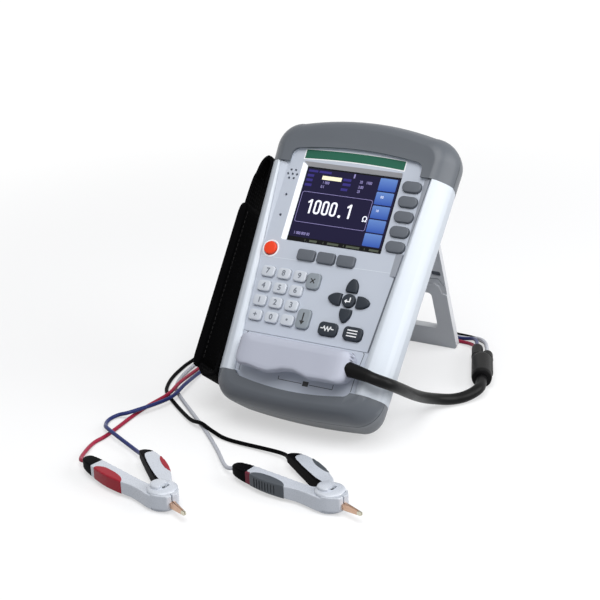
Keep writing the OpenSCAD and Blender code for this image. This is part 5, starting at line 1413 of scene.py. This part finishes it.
def makeArm(name, label, at, grip):
    body = prism(name, closedCurve(armShape), clip["lift"], armTop)
    carve(body, prism("tip", bent(bar(clip["nose"], 60, -30, 30)), -5, 30))
    carve(body, prism("front", bent([(6, -0.25), (40, -0.25), (40, 30), (6, 30)]), -5, 30))
    body = tapered(melted(body), armTaper)
    top = clip["lift"] + clip["thick"]
    groove = disc("groove", (0, 0), clip["hub"] + 1.1, top - 2.2, top + 5, 64)
    carve(groove, disc("inside", (0, 0), clip["hub"] - 1, top - 4, top + 6, 64))
    carve(body, groove)
    carve(body, rod("hub", (0, 0, clip["lift"] + 0.02), (0, 0, top), clip["hub"], 1.1, 64), "UNION")
    cap = rod("cap", (*clip["capAt"], top - 0.8), (*clip["capAt"], top + clip["capT"]), clip["cap"], 0.7, 56)
    carve(cap, block("flat", (clip["capFlat"], -20, -5), (30, 20, 30)))
    carve(body, cap, "UNION")
    slot = disc("slot", (0, 0), clip["hub"] + 2 * clip["gap"], middle - clip["tongue"] / 2 - clip["layer"],
        middle + clip["tongue"] / 2 + clip["layer"], 64)
    carve(slot, block("kept", (-30, -30, -5), (30, -7.4, 30)))
    carve(body, slot)
    # A small notch beside the cap, floored with a grey block as painted shade
    x0, (y0, y1, wide, deep), slack = clip["capFlat"], clip["notch"], 0.02
    carve(body, block("notch", (x0, y0, top - deep), (x0 + wide, y1, 30)))
    shadow = block(name + "NotchShade", (x0 + slack, y0 + slack, top - deep + slack),
        (x0 + wide - slack, y1 - slack, top - 0.7))
    boot = cut(body, name + "Boot", prism("boot", bootShape, -1, 30), swell["boot"])
    side = cut(body, name + "Grip", prism("grip", closedCurve(gripShape, 5), -1, 30), swell["grip"])
    carve(body, disc("bore", (0, 0), clip["pivot"] + 0.1, -1, top, 24))
    matrix = floorPlace @ at
    if label == "grey":
        spots = []
        # Nearly black rods along the grip stand for its grooves as painted shade
        for i in range(clip["ribs"]):
            x = clip["ribX"] + clip["ribStep"] * i
            wall = min(v.co.y for v in side.data.vertices if abs(v.co.x - x) < 1.2)
            spots.append((x, wall + clip["ribOut"], middle))
        look = {"Length": clip["ribLong"], "Radius": clip["ribR"], "Direction": (0, 0, 1),
            "Finish": gripGrooveShade}
        ribs = rods(name + "Ribs", rodSpots, look, spots)
        place(shade(ribs, 60), matrix, gripGrooveShade, "test_lead")
        band = cut(body, name + "Band", prism("band", bandShape, -1, 30), swell["band"])
        place(shade(band, 45), matrix, maroonBand, "test_lead")
    place(shade(body, 45), matrix, clipAbs, "test_lead", ("clip_handles",) if label == "red" else ())
    place(shade(boot, 45), matrix, bootRubber, "test_lead")
    place(shade(side, 45), matrix, grip, "test_lead")
    # The notch floor takes the grip's grey as painted shade
    place(shadow, matrix, greyGrip, "test_lead")
    return boot


def makeLever(name, at, grip, node):
    body = tapered(melted(prism(name, closedCurve(leverShape), clip["lift"], armTop)), leverTaper)
    hole = clip["hub"] + 2 * clip["gap"]
    carve(body, disc("hole", (0, 0), hole, -5, 30, 64))
    angle = cords["clipOpen"] - clip["jawBend"]
    noseShape = turned([(7, 0.25), (clip["nose"], 0.25), (clip["nose"], 3.6), (10.4, 6), (7, 8)], angle)
    nose = tapered(melted(prism("nose", noseShape, clip["lift"], armTop), 0.4, 3), armTaper)
    carve(nose, disc("hole", (0, 0), hole, -5, 30, 64))
    low, top = middle - clip["tongue"] / 2, middle + clip["tongue"] / 2
    inner = cut(body, name + "Inner", prism("inner", innerShape, -1, 30), swell["inner"])
    oval = cut(body, name + "Oval", ball("oval", *clip["oval"]), swell["oval"])
    # The tongue turns in the arm's slot and joins the lever to its jaw
    tongue = disc("tongue", (0, 0), clip["hub"] - 4, low, top, 64)
    neckX = -clip["hub"] / 2 - 2
    carve(tongue, prism("neck", [(neckX, 1.4), (-2, 0.6), (-2, 7), (neckX, 7)], low, top), "UNION")
    carve(tongue, prism("link", turned([(0, 0.3), (12, 0.3), (12, 3.4), (6, 6)], angle), low, top), "UNION")
    carve(body, tongue, "UNION")
    carve(body, nose, "UNION")
    carve(body, disc("bore", (0, 0), clip["pivot"] + 0.1, -5, 30, 24))
    matrix = floorPlace @ at
    place(shade(body, 45), matrix, clipAbs, bodyOf(node), (node,))
    place(shade(inner, 45), matrix, bootRubber, bodyOf(node))
    place(shade(oval, 45), matrix, grip, bodyOf(node))
    return inner


def makeJaw(name, at, side, body, nodes):
    # A tapered blade standing on edge, and its plated tip
    start, change, end = clip["nose"] - 1.5, clip["jaw"] - clip["plated"], clip["jaw"]
    (wide0, wide1), (tall0, tall1) = clip["bladeWide"], clip["bladeTall"]
    section = [(0, -0.94), (0, 0.94), (0.2, 1), (0.8, 0.86), (1, 0.6), (1, -0.6), (0.8, -0.86), (0.2, -1)]
    matrix = floorPlace @ at @ Matrix.Rotation(math.radians(-clip["jawBend"]), 4, "Z")
    for label, x0, x1, surface in (("", start, change, springCopper), ("Tip", change, end, wornCopper)):
        rings = []
        for x in (x0, (x0 + x1) / 2, x1):
            share = (x - start) / (end - start)
            wide, tall = wide0 + (wide1 - wide0) * share, tall0 + (tall1 - tall0) * share
            level = middle - (1 - share)
            rings.append([(x, side * (clip["jawGap"] + wide * a), level + tall * b) for a, b in section])
        piece = loft(name + label, rings)
        place(piece, matrix, surface, body, () if label else nodes)
        soften(piece, 0.12)


boots = {"red": [makeArm("redArm", "red", clipPlace["red"], redGrip)],
    "blue": [makeLever("redClipLever", leverPlace["red"], redGrip, "red_lever")],
    "white": [makeArm("greyArm", "grey", clipPlace["grey"], greyGrip)],
    "black": [makeLever("greyClipLever", leverPlace["grey"], greyGrip, "grey_lever")],
    "lead": [bpy.data.objects["splitterBody"]]}
makeJaw("redJaw", clipPlace["red"], -1, "test_lead", ("clip_jaws",))
makeJaw("greyJaw", clipPlace["grey"], -1, "test_lead", ())
makeJaw("redLeverJaw", clipPlace["red"], 1, bodyOf("red_lever_jaw"), ("red_lever_jaw",))
makeJaw("greyLeverJaw", clipPlace["grey"], 1, bodyOf("grey_lever_jaw"), ("grey_lever_jaw",))
print("clips made")

# Parts that stay as their solids
# Glass fibre board: green mask
laminate = moulded("laminate", {"colour": "#2c6848", "dark": "#245a3c", "edge": "#8a9a68",
    "rough": 0.4, "grainMm": 0.3})
# Display housing: black polycarbonate
moduleCase = moulded("moduleCase", {"colour": "#2a2c30", "dark": "#222428", "edge": "#50545a",
    "rough": 0.4, "grainMm": 0.3})
# Silicone: grey, dull
siliconeMat = moulded("siliconeMat", {"colour": "#8a8e96", "dark": "#7e828a", "edge": "#a4a8b0",
    "rough": 0.6, "grainMm": 0.3})
# Shrink film on the cells: blue, glossy
cellFilm = moulded("cellFilm", {"colour": "#3c5a8c", "dark": "#34507e", "edge": "#6080b0",
    "rough": 0.3, "grainMm": 2.0, "bump": 0.05})
plain = {"display_module": moduleCase, "main_board": laminate, "keypad_mat": siliconeMat,
    "battery_pack": cellFilm, "case_screws": platedSteel, "clip_pivots": platedSteel,
    "plug_pins": platedSteel}
for node, surface in plain.items():
    solid = frame["nodes"][node]
    for holder in solid.material_slots:
        holder.material = surface

# Plain pale floor and soft studio light
studio = {"paper": "#f4f5f7", "bounce": "#b8babe", "size": 6, "under": -0.0002, "glow": 1.06, "near": 0.5,
    "fadeFrom": 0.3, "fadeTo": 0.9, "ambient": 0.25}
reach = studio["size"]
corners = [(x, y, studio["under"]) for x, y in bar(-reach, reach, -reach, reach)]
floor = newPiece("floor", corners, [(0, 1, 2, 3)])
floorPaper, paper, paperShader, spot = newMaterial("paperFloor")


def backgroundRays(tree):
    # Rays that see the white background: the camera's, and those of metal and glass
    ray = addNode(tree, "ShaderNodeLightPath").outputs
    some = worked(tree, "MAXIMUM", ray["Is Camera Ray"], ray["Is Glossy Ray"])
    return worked(tree, "MAXIMUM", some, ray["Is Transmission Ray"])


# White paper that keeps a light shadow near the object and fades into the white background further off
seen = backgroundRays(paper)
sheet = mixedColour(paper, seen, tone(studio["bounce"]), tone(studio["paper"]))
feed(paper, paperShader, {"Base Color": sheet, "Roughness": 0.9, "Specular IOR Level": 0.0})
away = addNode(paper, "ShaderNodeVectorMath", {"operation": "LENGTH"}, {0: spot}).outputs["Value"]
fade = ranged(paper, away, studio["near"], 1.0, studio["fadeFrom"], studio["fadeTo"], "SMOOTHSTEP")
glow = addNode(paper, "ShaderNodeEmission", None, {"Strength": studio["glow"]})
mixed = addNode(paper, "ShaderNodeMixShader", None,
    {0: worked(paper, "MULTIPLY", fade, seen), 1: paperShader.outputs[0], 2: glow.outputs[0]})
paper.links.new(mixed.outputs[0], paper.nodes["Material Output"].inputs["Surface"])
floor.data.materials.append(floorPaper)

world = bpy.data.worlds.new("studio")
bpy.context.scene.world = world
world.use_nodes = True
sky = world.node_tree
sky.nodes.clear()
power = ranged(sky, backgroundRays(sky), studio["ambient"], 1.0)
air = addNode(sky, "ShaderNodeBackground", None, {"Color": (1, 1, 1, 1), "Strength": power})
addNode(sky, "ShaderNodeOutputWorld", None, {"Surface": air.outputs[0]})

lamps = {"top": ((0.45, -0.75, 1.85), 1.5, 32), "side": ((1.5, 0.3, 0.75), 1.2, 19)}
for name, (at, size, watts) in lamps.items():
    lamp = bpy.data.lights.new(name, "AREA")
    lamp.energy, lamp.size = watts, size
    holder = bpy.data.objects.new(name, lamp)
    holder.location = at
    holder.rotation_euler = (Vector((0, 0, 0.08)) - Vector(at)).to_track_quat("-Z", "Y").to_euler()
    bpy.context.scene.collection.objects.link(holder)

print("studio made")
